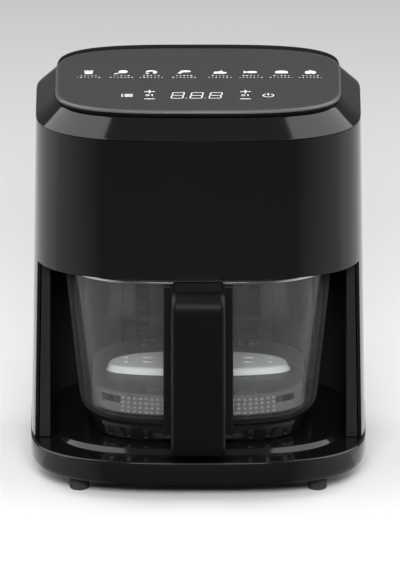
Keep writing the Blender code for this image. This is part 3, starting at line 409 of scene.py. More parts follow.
def set_in(piece):
    """Makes what a piece's modifiers do to it part of its mesh."""
    graph = bpy.context.evaluated_depsgraph_get()
    done = bpy.data.meshes.new_from_object(piece.evaluated_get(graph))
    piece.modifiers.clear()
    old = piece.data
    piece.data = done
    bpy.data.meshes.remove(old)
    done.name = piece.name


def cut_away(piece, bm):
    """Cuts the shapes of a bmesh out of a piece for good."""
    cutter = put("cutter", bm)
    mesh = cutter.data
    change = piece.modifiers.new("Cut", "BOOLEAN")
    change.operation = "DIFFERENCE"
    change.solver = "EXACT"
    change.object = cutter
    set_in(piece)
    bpy.data.objects.remove(cutter)
    bpy.data.meshes.remove(mesh)


# ---------------------------------------------------------------- materials
class Value:
    """A number socket that can be used in sums."""

    def __init__(self, nodes, socket):
        self.nodes = nodes
        self.socket = socket

    def math(self, operation, other, swap=False):
        pair = [other, self.socket] if swap else [self.socket, other]
        pair = [item.socket if isinstance(item, Value) else item for item in pair]
        node = self.nodes.add("ShaderNodeMath", {"operation": operation}, dict(enumerate(pair)))
        return Value(self.nodes, node.outputs[0])

    def __add__(self, other):
        return self.math("ADD", other)

    def __radd__(self, other):
        return self.math("ADD", other)

    def __sub__(self, other):
        return self.math("SUBTRACT", other)

    def __rsub__(self, other):
        return self.math("SUBTRACT", other, swap=True)

    def __mul__(self, other):
        return self.math("MULTIPLY", other)

    def __rmul__(self, other):
        return self.math("MULTIPLY", other)

    def over(self, limit):
        return self.math("GREATER_THAN", limit)


class Finish:
    """A material and its node tree, with one method that adds any node."""

    def __init__(self, name):
        self.material = bpy.data.materials.new(name)
        self.material.use_nodes = True
        self.tree = self.material.node_tree
        self.shader = self.tree.nodes["Principled BSDF"]
        self.output = self.tree.nodes["Material Output"]

    def add(self, kind, setup=None, inputs=None):
        node = self.tree.nodes.new(kind)
        for name, value in (setup or {}).items():
            setattr(node, name, value)
        for name, value in (inputs or {}).items():
            self.feed(node.inputs[name], value)
        return node

    def feed(self, socket, value):
        if isinstance(value, Value):
            value = value.socket
        if isinstance(value, bpy.types.NodeSocket):
            self.tree.links.new(value, socket)
        else:
            socket.default_value = value

    def set(self, **inputs):
        for name, value in inputs.items():
            self.feed(self.shader.inputs[name.replace("_", " ")], value)
        return self

    def place(self, stretch=(1, 1, 1)):
        coords = self.add("ShaderNodeTexCoord")
        scaled = self.add("ShaderNodeVectorMath", {"operation": "MULTIPLY"},
                          {0: coords.outputs["Object"], 1: stretch})
        return scaled.outputs[0]

    def coordinate(self, axis):
        """One of the object's own coordinates, in metres."""
        coords = self.add("ShaderNodeTexCoord")
        parts = self.add("ShaderNodeSeparateXYZ", None, {0: coords.outputs["Object"]})
        return Value(self, parts.outputs[axis])

    def noise(self, size, detail=3.0, stretch=(1, 1, 1), rough=0.5):
        """Noise from 0 to 1 whose blobs are about as large as size, in metres."""
        node = self.add("ShaderNodeTexNoise", None, {
            "Vector": self.place(stretch), "Scale": 1 / size, "Detail": detail, "Roughness": rough})
        return Value(self, node.outputs["Fac"])

    def blend(self, share, first, second):
        """A colour between two colours."""
        node = self.add("ShaderNodeMix", {"data_type": "RGBA"})
        self.feed(node.inputs[0], share)
        self.feed(node.inputs[6], (*first, 1) if isinstance(first, tuple) else first)
        self.feed(node.inputs[7], (*second, 1) if isinstance(second, tuple) else second)
        return node.outputs[2]

    def bump(self, height, depth, strength=1.0):
        node = self.add("ShaderNodeBump", None, {"Height": height, "Distance": depth, "Strength": strength})
        return node.outputs[0]


def shade(colour, by):
    return tuple(min(1.0, channel * by) for channel in colour)


def moulded(name, colour, roughness, smudge=0.05, grain=0.0, specular=0.5, coat=0.0):
    """Moulded plastic: slow ripple, faint handling smudges and, where asked, a fine spark grain."""
    finish = Finish(name)
    cloud = finish.noise(45 * MM, 4.0)
    fleck = finish.noise(1.6 * MM, 2.0)
    finish.set(Base_Color=finish.blend(cloud, shade(colour, 0.88), shade(colour, 1.12)),
               Roughness=cloud * smudge + fleck * (smudge * 0.3) + (roughness - smudge * 0.65),
               Specular_IOR_Level=specular)
    if coat:
        finish.set(Coat_Weight=coat, Coat_Roughness=0.04)
    if grain:
        finish.set(Normal=finish.bump(finish.noise(0.55 * MM, 2.0), grain))
    else:
        finish.set(Normal=finish.bump(finish.noise(28 * MM, 1.0), 0.035 * MM, 0.6))
    return finish.material


def metal(name, colour, roughness, stretch=(1, 1, 1), streak=0.12, dark=0.85):
    """Metal with drawn or brushed streaks along its stretched axis."""
    finish = Finish(name)
    lines = finish.noise(1.2 * MM, 3.0, stretch)
    stain = finish.noise(30 * MM, 3.0)
    finish.set(Base_Color=finish.blend(stain, shade(colour, dark), colour),
               Roughness=lines * streak + (roughness - streak / 2),
               Normal=finish.bump(lines, 0.02 * MM, 0.5), Metallic=1.0)
    return finish.material


def soft_rubber(name, colour, roughness):
    """Moulded rubber or silicone with dust in its matt skin."""
    finish = Finish(name)
    dust = finish.noise(3 * MM, 4.0)
    grain = finish.noise(0.4 * MM, 2.0)
    finish.set(Base_Color=finish.blend(dust, colour, shade(colour, 1.8)),
               Roughness=dust * 0.12 + (roughness - 0.06),
               Normal=finish.bump(grain, 0.03 * MM), Specular_IOR_Level=0.35)
    return finish.material


def clear_glass(name, tint):
    """Polished glass that lets lamps through to what is behind it."""
    finish = Finish(name)
    film = finish.noise(60 * MM, 3.0)
    finish.set(Base_Color=finish.blend(film, shade(tint, 0.985), tint), Roughness=0.0, IOR=1.12,
               Transmission_Weight=0.995, Coat_Weight=0.62, Coat_Roughness=0.02, Coat_IOR=1.5,
               Sheen_Weight=0.03, Sheen_Roughness=0.45)
    lamp = finish.add("ShaderNodeLightPath")
    open_way = finish.add("ShaderNodeBsdfTransparent", None, {"Color": (*tint, 1)})
    mixed = finish.add("ShaderNodeMixShader", None, {
        0: lamp.outputs["Is Shadow Ray"], 1: finish.shader.outputs[0], 2: open_way.outputs[0]})
    finish.feed(finish.output.inputs["Surface"], mixed.outputs[0])
    return finish.material


def coated_plate(name, colour, pale, level):
    """Non-stick coat: flecked dark grey, and pale and even on the raised middle above a level, a painted
    highlight on the plateau's top.
    """
    finish = Finish(name)
    fleck = finish.noise(0.8 * MM, 2.0)
    cloud = finish.noise(25 * MM, 3.0)
    # painted highlight: above the level the colour turns pale, standing for light on the plateau's top
    raised = finish.coordinate("Z").over(level)
    body = finish.blend(cloud, shade(colour, 0.88), shade(colour, 1.1))
    flecked = finish.blend(fleck.over(0.63), body, shade(colour, 1.45))
    middle = finish.blend(cloud, shade(pale, 0.94), pale)
    finish.set(Base_Color=finish.blend(raised, flecked, middle), Roughness=cloud * 0.1 + 0.34,
               Normal=finish.bump(finish.noise(1.1 * MM, 2.0), 0.02 * MM))
    return finish.material


def circuit_board(name):
    """Solder mask with tracks that show as a paler green under it."""
    finish = Finish(name)
    tracks = finish.noise(4 * MM, 0.0, (1, 1, 6))
    line = (tracks * 8).math("FRACT", 0.0).over(0.72)
    finish.set(Base_Color=finish.blend(line, (0.012, 0.085, 0.035), (0.03, 0.16, 0.06)),
               Roughness=finish.noise(2 * MM) * 0.1 + 0.38)
    return finish.material


def pressed_fibre(name, colour):
    """Insulating board with fibres lying every way."""
    finish = Finish(name)
    fibre = finish.noise(2 * MM, 6.0, (1, 1, 1), 0.7)
    finish.set(Base_Color=finish.blend(fibre, shade(colour, 0.75), shade(colour, 1.1)),
               Roughness=fibre * 0.1 + 0.8, Normal=finish.bump(fibre, 0.1 * MM))
    return finish.material


def printed_ink(name, colour, glow):
    """Screen-printed ink, with a low light behind it where the key is lit."""
    finish = Finish(name)
    mottle = finish.noise(1.5 * MM, 2.0)
    ink = finish.blend(mottle, shade(colour, 0.92), colour)
    finish.set(Base_Color=ink, Roughness=mottle * 0.1 + 0.4, Emission_Color=ink,
               Emission_Strength=glow)
    return finish.material


FINISHES = {}


def finish_of(name):
    """Makes each finish once, the first time it is asked for; a slot's finish has the slot's name."""
    if name not in FINISHES:
        body, panel, pot = settings().body, settings().panel, settings().pot
        black, inner, grey = tuple(body.black), tuple(body.inner_black), tuple(panel.grey)
        maker, *values = {
            "gloss_black": (moulded, black, 0.085, 0.03),
            # grip: a darker copy of the shell black, painted shade on the grip's face
            "grip_black_painted_shade": (moulded, shade(black, 0.55), 0.38, 0.05, 0.006 * MM, 0.24),
            "satin_black": (moulded, inner, 0.36, 0.08, 0.02 * MM, 0.4),
            # back ribs: a lighter copy of the cavity's satin black, a painted highlight where the ribs face
            # the front lamp
            "rib_black_painted_highlight": (moulded, shade(inner, 2.2), 0.42, 0.06, 0.01 * MM),
            "matte_black": (moulded, shade(inner, 1.3), 0.55, 0.08, 0.05 * MM, 0.4),
            "panel_grey": (moulded, grey, 0.24, 0.04, 0.0, 0.5, 0.3),
            # panel rim: a paler copy of the panel grey, a painted highlight on its bevel
            "rim_grey_painted_highlight": (moulded, shade(grey, 2.6), 0.22, 0.04),
            "bezel_black": (moulded, shade(black, 0.7), 0.5, 0.06, 0.01 * MM, 0.12),
            "display_face": (moulded, (0.02, 0.02, 0.021), 0.15, 0.03),
            "printed_ink": (printed_ink, tuple(panel.ink), 0.25),
            "lit_digits": (printed_ink, (0.7, 0.7, 0.7), 0.5),
            "clear_glass": (clear_glass, tuple(pot.tint)),
            "steel": (metal, (0.62, 0.62, 0.61), 0.26, (1, 1, 8)),
            "polished_steel": (metal, (0.72, 0.72, 0.72), 0.16, (0.2, 0.2, 8), 0.06),
            "aluminium": (metal, (0.72, 0.72, 0.72), 0.36),
            "element_steel": (metal, (0.15, 0.14, 0.13), 0.45, (1, 1, 1), 0.2, 0.6),
            # the plate's pale raised middle is a painted highlight
            "coated_plate": (coated_plate, (0.06, 0.061, 0.062), (0.6, 0.6, 0.6), PLATE.top - 5 * MM),
            # skirt dots: paler than the coat, painted glints
            "dots_painted_glint": (moulded, (0.2, 0.2, 0.2), 0.4),
            "rubber": (soft_rubber, (0.016, 0.016, 0.017), 0.7),
            "silicone": (soft_rubber, (0.028, 0.028, 0.029), 0.6),
            "circuit_board": (circuit_board,),
            "insulation": (pressed_fibre, (0.52, 0.50, 0.44)),
        }[name]
        FINISHES[name] = maker(name, *values)
    return FINISHES[name]


# ---------------------------------------------------------------- housing
def build_shell():
    """Head skirt, sides and back in one wall, open at the front below the head."""
    body = settings().body
    low, high = SHELL.bottom, SHELL.top
    levels = [low + (high - low) * step / 8 for step in range(9)]
    bm = lofted([(body_outline(z), z) for z in levels])[0]
    wall_front = HEAD_FRONT + body.frame_setback
    for spot, way in (((0, wall_front, 0), (0, 1, 0)), ((0, 0, HEAD_BOTTOM), (0, 0, 1))):
        bmesh.ops.bisect_plane(bm, geom=bm.verts[:] + bm.edges[:] + bm.faces[:], plane_co=spot,
                               plane_no=way, dist=1e-7)
    middles = [(face, face.calc_center_median()) for face in bm.faces]
    gone = [face for face, middle in middles if middle.y < wall_front and middle.z < HEAD_BOTTOM]
    bmesh.ops.delete(bm, geom=gone, context="FACES")
    bmesh.ops.recalc_face_normals(bm, faces=bm.faces[:])
    if sum(face.normal.x * face.calc_center_median().x for face in bm.faces) < 0:
        bmesh.ops.reverse_faces(bm, faces=bm.faces[:])
    piece = make("head_and_side_shell", bm, "housing", "gloss_black", ["outer_shell"])
    thick = piece.modifiers.new("Wall", "SOLIDIFY")
    thick.thickness = body.wall
    thick.offset = -1
    set_in(piece)
    cutter = bmesh.new()
    box_into(cutter, (GRILLE.left - GAP, GRILLE.front, GRILLE.bottom - GAP),
             (GRILLE.right + GAP, GRILLE.back + 20 * MM, GRILLE.top + GAP))
    bar_into(cutter, (GLAND.x, GLAND.front - 2 * MM, GLAND.z), 6.3 * MM, 40 * MM, 40)
    cut_away(piece, cutter)
    round_edges(piece, body.edge, 3, 40)


def build_shoulder():
    """Sloped ring from the parting line up to the bezel."""
    wall = settings().body.wall
    edge = 0.7 * MM
    slope = SHOULDER - PARTING - GAP
    outer = body_outline(PARTING)
    low = PARTING + GAP
    sections = rings(outer, low, (-1.2, 0), (-0.5, 0), (-0.1, 0.15), (0, 0.5)) + [
        (outer.grown(-edge * 0.35), low + edge * 1.1),
        (outer.grown(-edge * 1.4), low + edge * 2.1),
        (outer.grown(-slope + 1.4 * edge), SHOULDER - 1.6 * edge),
        (outer.grown(-slope + edge * 0.3), SHOULDER - 0.6 * edge),
        (outer.grown(-slope - edge * 0.8), SHOULDER - 0.1 * edge),
        (outer.grown(-slope - 2 * edge), SHOULDER),
        (outer.grown(-slope - 12 * MM), SHOULDER), (outer.grown(-slope - 12 * MM), SHOULDER - wall),
        (outer.grown(-slope - wall), SHOULDER - wall), (outer.grown(-4.2 * MM), low),
    ]
    make("shoulder_ring", skin(sections), "housing", "gloss_black", ["top_cover"])


def build_bezel():
    """Dark tray under the panel; its rim rises behind the panel."""
    outer = outline_of(BEZEL, PANEL_CURVES)
    tray = rings(outer, BEZEL.bottom, (-0.6, 0), (0, 0.6))
    tray += rings(outer, BEZEL.top, (0, -1.4), (-0.35, -0.45), (-1.3, 0), (-30, 0))
    tray += rings(outer, BEZEL.bottom, (-30, 0))
    piece = make("panel_bezel", skin(tray), "housing", "gloss_black", ["top_bezel"], "bezel_black")
    room = outline_of(PANEL, PANEL_CURVES).grown(2 * GAP)
    cut_away(piece, skin([(room, PANEL.bottom - GAP), (room, BEZEL.top + 5 * MM)], closed=False))
    piece.data.set_sharp_from_angle(angle=math.radians(35))


def build_panel():
    """Grey touch panel inside a rim with a soft bevel; the rim's paler grey is a painted highlight on the
    bevel.
    """
    outline = outline_of(PANEL, PANEL_CURVES)
    top, low = PANEL.top - PRINT_LIFT, PANEL.bottom
    rim = 1.9
    plate = outline.grown(-(rim + 0.05) * MM)
    sections = rings(plate, low, (-2, 0.3), (0, 0.3)) + rings(plate, top, (0, 0), (-1, 0), (-20, 0))
    make("touch_panel", skin(sections, closed=False), "housing", "panel_grey", ["control_panel"])
    sections = rings(outline, low, (-0.5, 0), (-0.1, 0.25), (0, 0.6))
    sections += rings(outline, top, (0, -1.4), (-0.15, -0.9), (-0.5, -0.4), (-1.0, -0.1), (-1.5, 0),
                      (-rim, 0))
    sections += rings(outline, low, (-rim, 0))
    # the rim's paler grey is a painted highlight on its bevel
    make("panel_rim", skin(sections), "housing", "panel_grey", (), "rim_grey_painted_highlight")


def build_base():
    """Base tray: rounded lower edge, flat ledge, and the step up to the platform."""
    outline, stage = base_outline(), stage_outline()
    sections = rings(stage, BASE_TOP + settings().body.platform, (-16, 0), (-4.2, 0), (-3.3, -0.2),
                     (-2.4, -0.9))
    sections += rings(stage, BASE_TOP, (-0.6, 0.8), (0.2, 0.1), (1.0, 0))
    sections += rings(outline, BASE_TOP, (-3.0, 0), (-1.8, 0), (-0.9, -0.2), (-0.3, -0.7), (0, -1.6),
                      (0, -4))
    sections += rings(outline, BASE.bottom, (-0.25, 6.5), (-0.7, 4.2), (-1.5, 2.2), (-2.6, 0.8),
                      (-3.9, 0.1), (-5.0, 0), (-6.0, 0))
    sections += rings(outline, BASE_TOP, (-6.0, -3), (-16, -3))
    make("base_tray_with_platform", skin(sections, closed=False), "housing", "gloss_black",
         ["base_tray"])


def cavity_path(z):
    """The cavity wall's outline in plan at a height, with its flat front flanges."""
    front = HEAD_FRONT + settings().body.frame_setback
    face = front + LINER_WALL
    inside = cavity_outline()
    outside = inside.grown(LINER_WALL)
    flange = body_outline(z, settings().body.wall + 2 * GAP).width_at(front)
    steps = 56
    turns = [math.pi * step / steps for step in range(steps + 1)]
    points = [(flange, front), (flange, face), (outside.half, face)]
    points += [outside.at(turn, 0).xy for turn in turns]
    points += [(-outside.half, face), (-flange, face), (-flange, front), (-inside.half, front)]
    points += [inside.at(turn, 0).xy for turn in reversed(turns)]
    points += [(inside.half, front)]
    return [Vector((x, y, z)) for x, y in points]


def build_cavity():
    """Cavity wall: flat front flanges, sides, and a ribbed back."""
    bm = bmesh.new()
    low, high = cavity_path(LINER.bottom), cavity_path(LINER.top)
    face = bm.faces.new([bm.verts.new(point) for point in low])
    lifted = verts_of(bmesh.ops.extrude_face_region(bm, geom=[face])["geom"])
    lifted.sort(key=lambda vert: min(range(len(low)), key=lambda i: (low[i] - vert.co).length))
    for vert, point in zip(lifted, high):
        vert.co = point
    bmesh.ops.recalc_face_normals(bm, faces=bm.faces[:])
    piece = make("cavity_wall", bm, "housing", "satin_black", ["cavity_liner"])
    hole = bmesh.new()
    bar_into(hole, (0, LINER.back - LINER_WALL, Span("interlock_plunger").z), 2.4 * MM, 12 * MM, 32)
    cut_away(piece, hole)
    round_edges(piece, 0.5 * MM, 2, 40)

    ribs = bmesh.new()
    inside = cavity_outline()
    low, high = BASE_TOP + 30 * MM, LINER.top - 5 * MM
    first, last, slats = low + 3 * MM, high - 3 * MM, 22
    for side in (-1, 1):
        for near, far in ((28 * MM, 39.5 * MM), (47 * MM, 60 * MM)):
            back = inside.back_at(far)
            left, right = sorted((side * near, side * far))
            box_into(ribs, (left, back - 2.2 * MM, low), (right, back + 3 * MM, high), 1.1 * MM, 3)
        back = inside.back_at(47 * MM)
        left, right = sorted((side * 40 * MM, side * 46.6 * MM))
        for number in range(slats):
            z = first + (last - first) * number / (slats - 1)
            box_into(ribs, (left, back - 0.5 * MM, z - 0.9 * MM), (right, back + 2 * MM, z + 0.9 * MM),
                     0.4 * MM)
    # the ribs' lighter black is a painted highlight where they face the front lamp
    make("back_wall_ribs", ribs, "housing", "satin_black", (), "rib_black_painted_highlight")


def build_rear_fittings():
    """Louvred outlet, cord gland ring and the two wall spacers."""
    grille = bmesh.new()
    left, right, low, high = GRILLE.left, GRILLE.right, GRILLE.bottom, GRILLE.top
    rim = 4 * MM
    for x0, x1, z0, z1 in ((left, left + rim, low, high), (right - rim, right, low, high),
                           (left, right, low, low + rim), (left, right, high - rim, high)):
        box_into(grille, (x0, GRILLE.front, z0), (x1, GRILLE.back, z1), MM)
    louvres = 7
    height = (high - low - 2 * rim) / louvres
    turn = Matrix.Rotation(math.radians(-32), 4, "X")
    for number in range(louvres):
        z = low + rim + (number + 0.5) * height
        made = box_into(grille, (left + 2 * MM, -3.4 * MM, -0.75 * MM),
                        (right - 2 * MM, 3.4 * MM, 0.75 * MM))
        matrix = Matrix.Translation((0, GRILLE.middle, z)) @ turn
        bmesh.ops.transform(grille, matrix=matrix, verts=made)
    for x in (-13 * MM, 13 * MM):
        box_into(grille, (x - MM, GRILLE.front + 1.2 * MM, low + MM),
                 (x + MM, GRILLE.back - 1.5 * MM, high - MM))
    make("rear_outlet_louvres", grille, "housing", "satin_black", ["air_outlet_grille"])

    bore, barrel, flange = 3.5 * MM, 6 * MM, 9 * MM
    start, end = GLAND.back - 3 * MM, GLAND.back
    profile = [
        (bore, GLAND.front), (barrel, GLAND.front), (barrel, start), (flange - 0.4 * MM, start),
        (flange, start + 0.4 * MM), (flange, start + MM), (flange - 0.5 * MM, start + 1.6 * MM),
        (barrel + 1.6 * MM, start + 2.2 * MM), (barrel + 1.2 * MM, end - 0.3 * MM),
        (barrel + 0.6 * MM, end), (bore + 0.6 * MM, end), (bore, end - 0.5 * MM), (bore, GLAND.front),
    ]
    make("cord_gland_ring", turned(profile, (GLAND.x, 0, GLAND.z), 64, (0, 1, 0)), "housing", "rubber",
         ["cord_gland"])

    inset = 5 * MM
    for side in ("left", "right"):
        span = Span(f"rear_spacer_{side}")
        bm = bmesh.new()
        box_into(bm, (span.left, span.front, span.bottom), (span.right, span.back, span.top), 2 * MM, 4)
        box_into(bm, (span.left + inset, span.back - 3 * MM, span.bottom + inset),
                 (span.right - inset, span.back, span.top - inset), 0.8 * MM, 2)
        make(f"wall_spacer_{side}", bm, "housing", "satin_black", [f"rear_spacer_{side}"])


def build_feet():
    """Turned rubber feet with a rounded heel and a groove under the collar."""
    heel = ((-3.2, 0), (-1.2, 0), (-0.5, 0.3), (-0.1, 0.9), (0, 1.6))
    collar = ((0, -3.4), (-0.3, -3.0), (-0.6, -2.6), (-0.3, -2.2), (0, -1.8), (0, 0))
    for place in ("front_left", "front_right", "rear_left", "rear_right"):
        span = Span(f"foot_{place}")
        profile = [(0, 0)] + [(span.half + out * MM, rise * MM) for out, rise in heel]
        profile += [(span.half + out * MM, span.top + rise * MM) for out, rise in collar]
        profile += [(0, span.top)]
        make(f"turned_foot_{place}", turned(profile, (span.x, span.middle, 0), 56), "housing", "rubber",
             [f"foot_{place}"])


# ---------------------------------------------------------------- what is printed on the panel
PRINT_LIFT = 0.05 * MM
PRINT_ROOT = 0.02 * MM          # how far a mark reaches down into the panel


class Print:
    """Collects flat marks on the panel, each a thin raised film, in millimetres from a spot."""

    def __init__(self):
        self.bm = bmesh.new()
        self.spot = (0, 0)

    def corners(self, *points):
        x, y = self.spot
        base = PANEL.top - PRINT_LIFT - PRINT_ROOT
        prism_into(self.bm, [(x + a * MM, y + b * MM, base) for a, b in points],
                   (0, 0, PRINT_LIFT + PRINT_ROOT))

    def bar(self, x, y, width, height, turn=0.0, lean=0.0):
        c, s = math.cos(turn), math.sin(turn)
        corners = [(a * width / 2, b * height / 2) for a, b in ((-1, -1), (1, -1), (1, 1), (-1, 1))]
        self.corners(*((x + a * c - b * s + lean * (a * s + b * c), y + a * s + b * c)
                       for a, b in corners))

    def disc(self, x, y, width, height, start=0.0, sweep=360.0, steps=18):
        angles = [math.radians(start + sweep * step / steps) for step in range(steps + (sweep < 360))]
        self.corners(*((x + width / 2 * math.cos(a), y + height / 2 * math.sin(a)) for a in angles))

    def ring(self, x, y, width, height, stroke, start=0.0, sweep=360.0, steps=28):
        """An open or closed ring drawn as short bars, so that it stays one even stroke."""
        for step in range(steps):
            first = math.radians(start + sweep * step / steps)
            last = math.radians(start + sweep * (step + 1) / steps)
            self.corners(*(
                (x + (width / 2 - inset) * math.cos(a), y + (height / 2 - inset) * math.sin(a))
                for a, inset in ((first, 0), (last, 0), (last, stroke), (first, stroke))))

    def finish(self, name, finish, slot="panel_grey"):
        make(name, self.bm, "housing", slot, (), finish, sharp=20)


def chips(p):
    p.corners((-3.4, 0.6), (-2.6, -4.6), (2.6, -4.6), (3.4, 0.6))
    for number in range(4):
        p.bar((number - 1.5) * 1.7, 2.8, 1.1, 3.0 + 0.8 * (number % 2), 0.12 * (1.5 - number))


def drumstick(p):
    p.disc(1.4, 1.2, 7, 7.4)
    p.bar(-2.6, -2.8, 1.3, 5, -0.85)
    p.disc(-4.5, -4.2, 2.2, 2.4)


def prawn(p):
    p.ring(0, 0, 9, 9.6, 2.6, -60, 230, 20)
    p.corners((-4.8, -2.2), (-1.6, -2.4), (-3.0, -5.2))


def wing(p):
    p.disc(1.0, 2.2, 8.6, 4.8)
    p.bar(-2.4, -0.8, 2.4, 6.0, -0.6)


def cutlet(p):
    p.corners((-5, -3.8), (4.6, -3.8), (5.4, -0.4), (2.6, 0.2), (1.2, 4.4), (-1.2, 1.4), (-4.4, 0.8))


def fish(p):
    p.disc(0.8, 0, 8.4, 5.4)
    p.corners((-2.4, 0), (-5.6, 3.2), (-5.6, -3.2))


def loaf(p):
    p.disc(0, -0.4, 10.4, 9, 0, 180, 16)
    p.bar(0, -1.9, 9.6, 2.2)


def pepper(p):
    p.disc(-1.9, -0.8, 5, 7.4)
    p.disc(1.9, -0.8, 5, 7.4)
    p.bar(0, 3.9, 1.3, 3.2, 0.25)
    p.bar(0, 2.8, 5.4, 1.1)


FOODS = (           # each symbol and its place from the panel's middle, in millimetres
    (chips, -84.9), (drumstick, -59.5), (prawn, -36.4), (wing, -11.0),
    (cutlet, 16.7), (fish, 40.6), (loaf, 64.4), (pepper, 86.8),
)


def build_prints():
    """Eight food symbols with tick rows under them, the keys, and the lit digits."""
    panel = settings().panel
    food_y = PANEL.front + panel.foods_y
    key_y = PANEL.front + panel.keys_y
    marks = Print()
    ticks = random.Random(7)
    for food, x in FOODS:
        marks.spot = (x * MM, food_y)
        food(marks)
        for row, count in enumerate((5, 7)):
            for place in range(count):
                marks.bar(2.8 * place - 1.4 * (count - 1), -9.3 - 4.9 * row,
                          ticks.choice((0.7, 1.1, 1.5)), ticks.choice((0.7, 1.2)))
    marks.spot = (-55 * MM, key_y)                      # the menu key, a list
    for row in (-1, 0, 1):
        marks.bar(1.3, row * 2.9, 6.2, 1.3)
        marks.bar(-3.7, row * 2.9, 1.4, 1.3)
    for x in (-37.6, 36.3):                             # plus over minus, for heat and for time
        marks.spot = (x * MM, key_y)
        marks.bar(0, 10.2, 8.2, 1.2)
        marks.bar(0, 10.2, 1.2, 8.2)
        marks.bar(0, -9.2, 8.2, 1.2)
        marks.ring(-1.6, 0.6, 3.0, 4.6, 0.6, 0, 360, 14)
        marks.bar(2.0, 0.6, 0.8, 4.4)
    marks.spot = (54 * MM, key_y)                       # the power key
    marks.ring(0, 0, 9.1, 9.1, 0.9, 120, 300, 30)
    marks.bar(0, 3.2, 1.0, 5.4)
    marks.finish("panel_symbols", "printed_ink")
    build_digits(key_y)


def build_digits(key_y):
    """Three generic eights in seven leaning segments each, with two small dots."""
    panel = settings().panel
    width, height = panel.digit_width / MM, panel.digit_height / MM
    stroke, lean, pitch = 0.78, 0.1, 14.6
    digits = Print()
    for number in (-1, 0, 1):
        digits.spot = ((number * pitch - 1.2) * MM, key_y)
        for level in (-1, 0, 1):
            y = level * (height - stroke) / 2
            digits.bar(lean * y, y, width - 2.2 * stroke, stroke, 0.0, lean)
        for level in (-1, 1):
            y = level * height / 4
            for side in (-1, 1):
                digits.bar(side * (width - stroke) / 2 + lean * y, y, stroke,
                           height / 2 - 1.5 * stroke, 0.0, lean)
    digits.spot = (0, key_y)
    for place in (-0.5, 0.5):
        digits.disc(place * pitch - 2.1, 0.8 - height / 2, 1, 1.2, steps=12)
    digits.finish("display_digits", "lit_digits", "display_face")


# ---------------------------------------------------------------- pot
def corner_level():
    """Height at which the pot's wall goes over into its bottom corner."""
    return BOWL.bottom + settings().pot.corner


def bowl_sections(inset):
    """Bowl wall from the middle of its bottom up to its rim, moved in by an inset."""
    start = corner_level()
    radius = settings().pot.corner - inset
    sections = [(pot_outline(start, inset + radius + 30 * MM), BOWL.bottom + inset),
                (pot_outline(start, inset + radius + MM), BOWL.bottom + inset)]
    steps = 7
    for step in range(steps + 1):
        angle = math.pi / 2 * step / steps
        z = start - radius * math.cos(angle)
        sections.append((pot_outline(start, inset + radius * (1 - math.sin(angle))), z))
    for step in range(1, 5):
        z = start + (BOWL.top - 2 * MM - start) * step / 4
        sections.append((pot_outline(z, inset), z))
    return sections


def build_bowl():
    """Glass bowl with a rounded foot and a fire-polished rim."""
    glass = settings().pot.glass
    rim = []
    steps = 6
    radius = glass / 2
    for step in range(1, steps):
        angle = math.pi * step / steps
        z = BOWL.top - radius + radius * math.sin(angle)
        rim.append((pot_outline(BOWL.top, radius - radius * math.cos(angle)), z))
    sections = bowl_sections(0.0) + rim + bowl_sections(glass)[::-1]
    make("pot_glass", skin(sections, closed=False), "pot", "clear_glass", ["glass_bowl"], sharp=60)


def build_rim_band():
    """Polished band round the top of the glass."""
    low, high = BAND.bottom, BAND.top
    thick = BAND.half - BOWL.half - GAP
    steps = ((low, 0), (low, thick - 0.4 * MM), (low + 0.12 * MM, thick - 0.12 * MM),
             (low + 0.4 * MM, thick), (high - 0.4 * MM, thick), (high - 0.12 * MM, thick - 0.12 * MM),
             (high, thick - 0.4 * MM), (high, 0))
    sections = [(pot_outline(z, -GAP - out), z) for z, out in steps]
    make("polished_rim_band", skin(sections), "pot", "steel", ["rim_band"], "polished_steel", 50)


def build_holder():
    """Black base that the glass stands in, with a stepped skirt and clip tabs."""
    outline = pot_outline(corner_level(), settings().pot.corner * 0.6)
    low, high = HOLDER.bottom, HOLDER.top
    sections = rings(outline, high, (-14, 0), (-3.0, 0), (-2.0, -0.1), (-0.8, -0.5), (0, -1.5),
                     (0, -4.0), (-0.9, -4.6))
    sections += rings(outline, low, (-1.6, 2.0), (-2.0, 0.6), (-2.6, 0), (-4.5, 0))
    sections += rings(outline, high, (-4.5, -2.5), (-14, -2.5))
    make("pot_holder", skin(sections, closed=False), "pot", "satin_black", ["pot_base"], "gloss_black")
    tabs = bmesh.new()
    for number in range(-5, 6):
        x = number * 13.5 * MM
        if abs(x) >= BRACKET.half + 2 * MM:
            y = outline.front_at(x)
            box_into(tabs, (x - 2.5 * MM, y - 0.2 * MM, low + 2 * MM),
                     (x + 2.5 * MM, y + 3 * MM, high - 4.2 * MM), 0.5 * MM)
    make("holder_clip_tabs", tabs, "pot", "satin_black", (), "gloss_black")


def glass_front(z):
    """Where the handle's parts meet the front of the glass at a height."""
    return pot_outline(z).front - GAP


def slope_front(z):
    """Front face of the handle's plate at a height; it follows the glass."""
    return glass_front(z) - 3 * MM


def build_bracket():
    """Plate between the grip and the glass; its back follows the glass and its toe runs in under it."""
    low, high, half = BRACKET.bottom, BRACKET.top, BRACKET.half
    corner, heel = corner_level(), BOWL.bottom - MM
    side = [(slope_front(low), low), (BRACKET.back, low), (BRACKET.back, heel),
            (glass_front(corner), heel), (glass_front(corner), corner), (glass_front(high), high),
            (slope_front(high), high)]
    bm = bmesh.new()
    prism_into(bm, [(-half, y, z) for y, z in side], (2 * half, 0, 0))
    piece = make("handle_plate", bm, "pot", "gloss_black", ["handle_bracket"])
    round_edges(piece, 1.1 * MM, 4, 30)


def arc(centre, radius, first, last, steps):
    turns = [math.radians(first + (last - first) * step / steps) for step in range(steps + 1)]
    return [(centre[0] + radius * math.cos(a), centre[1] + radius * math.sin(a)) for a in turns]


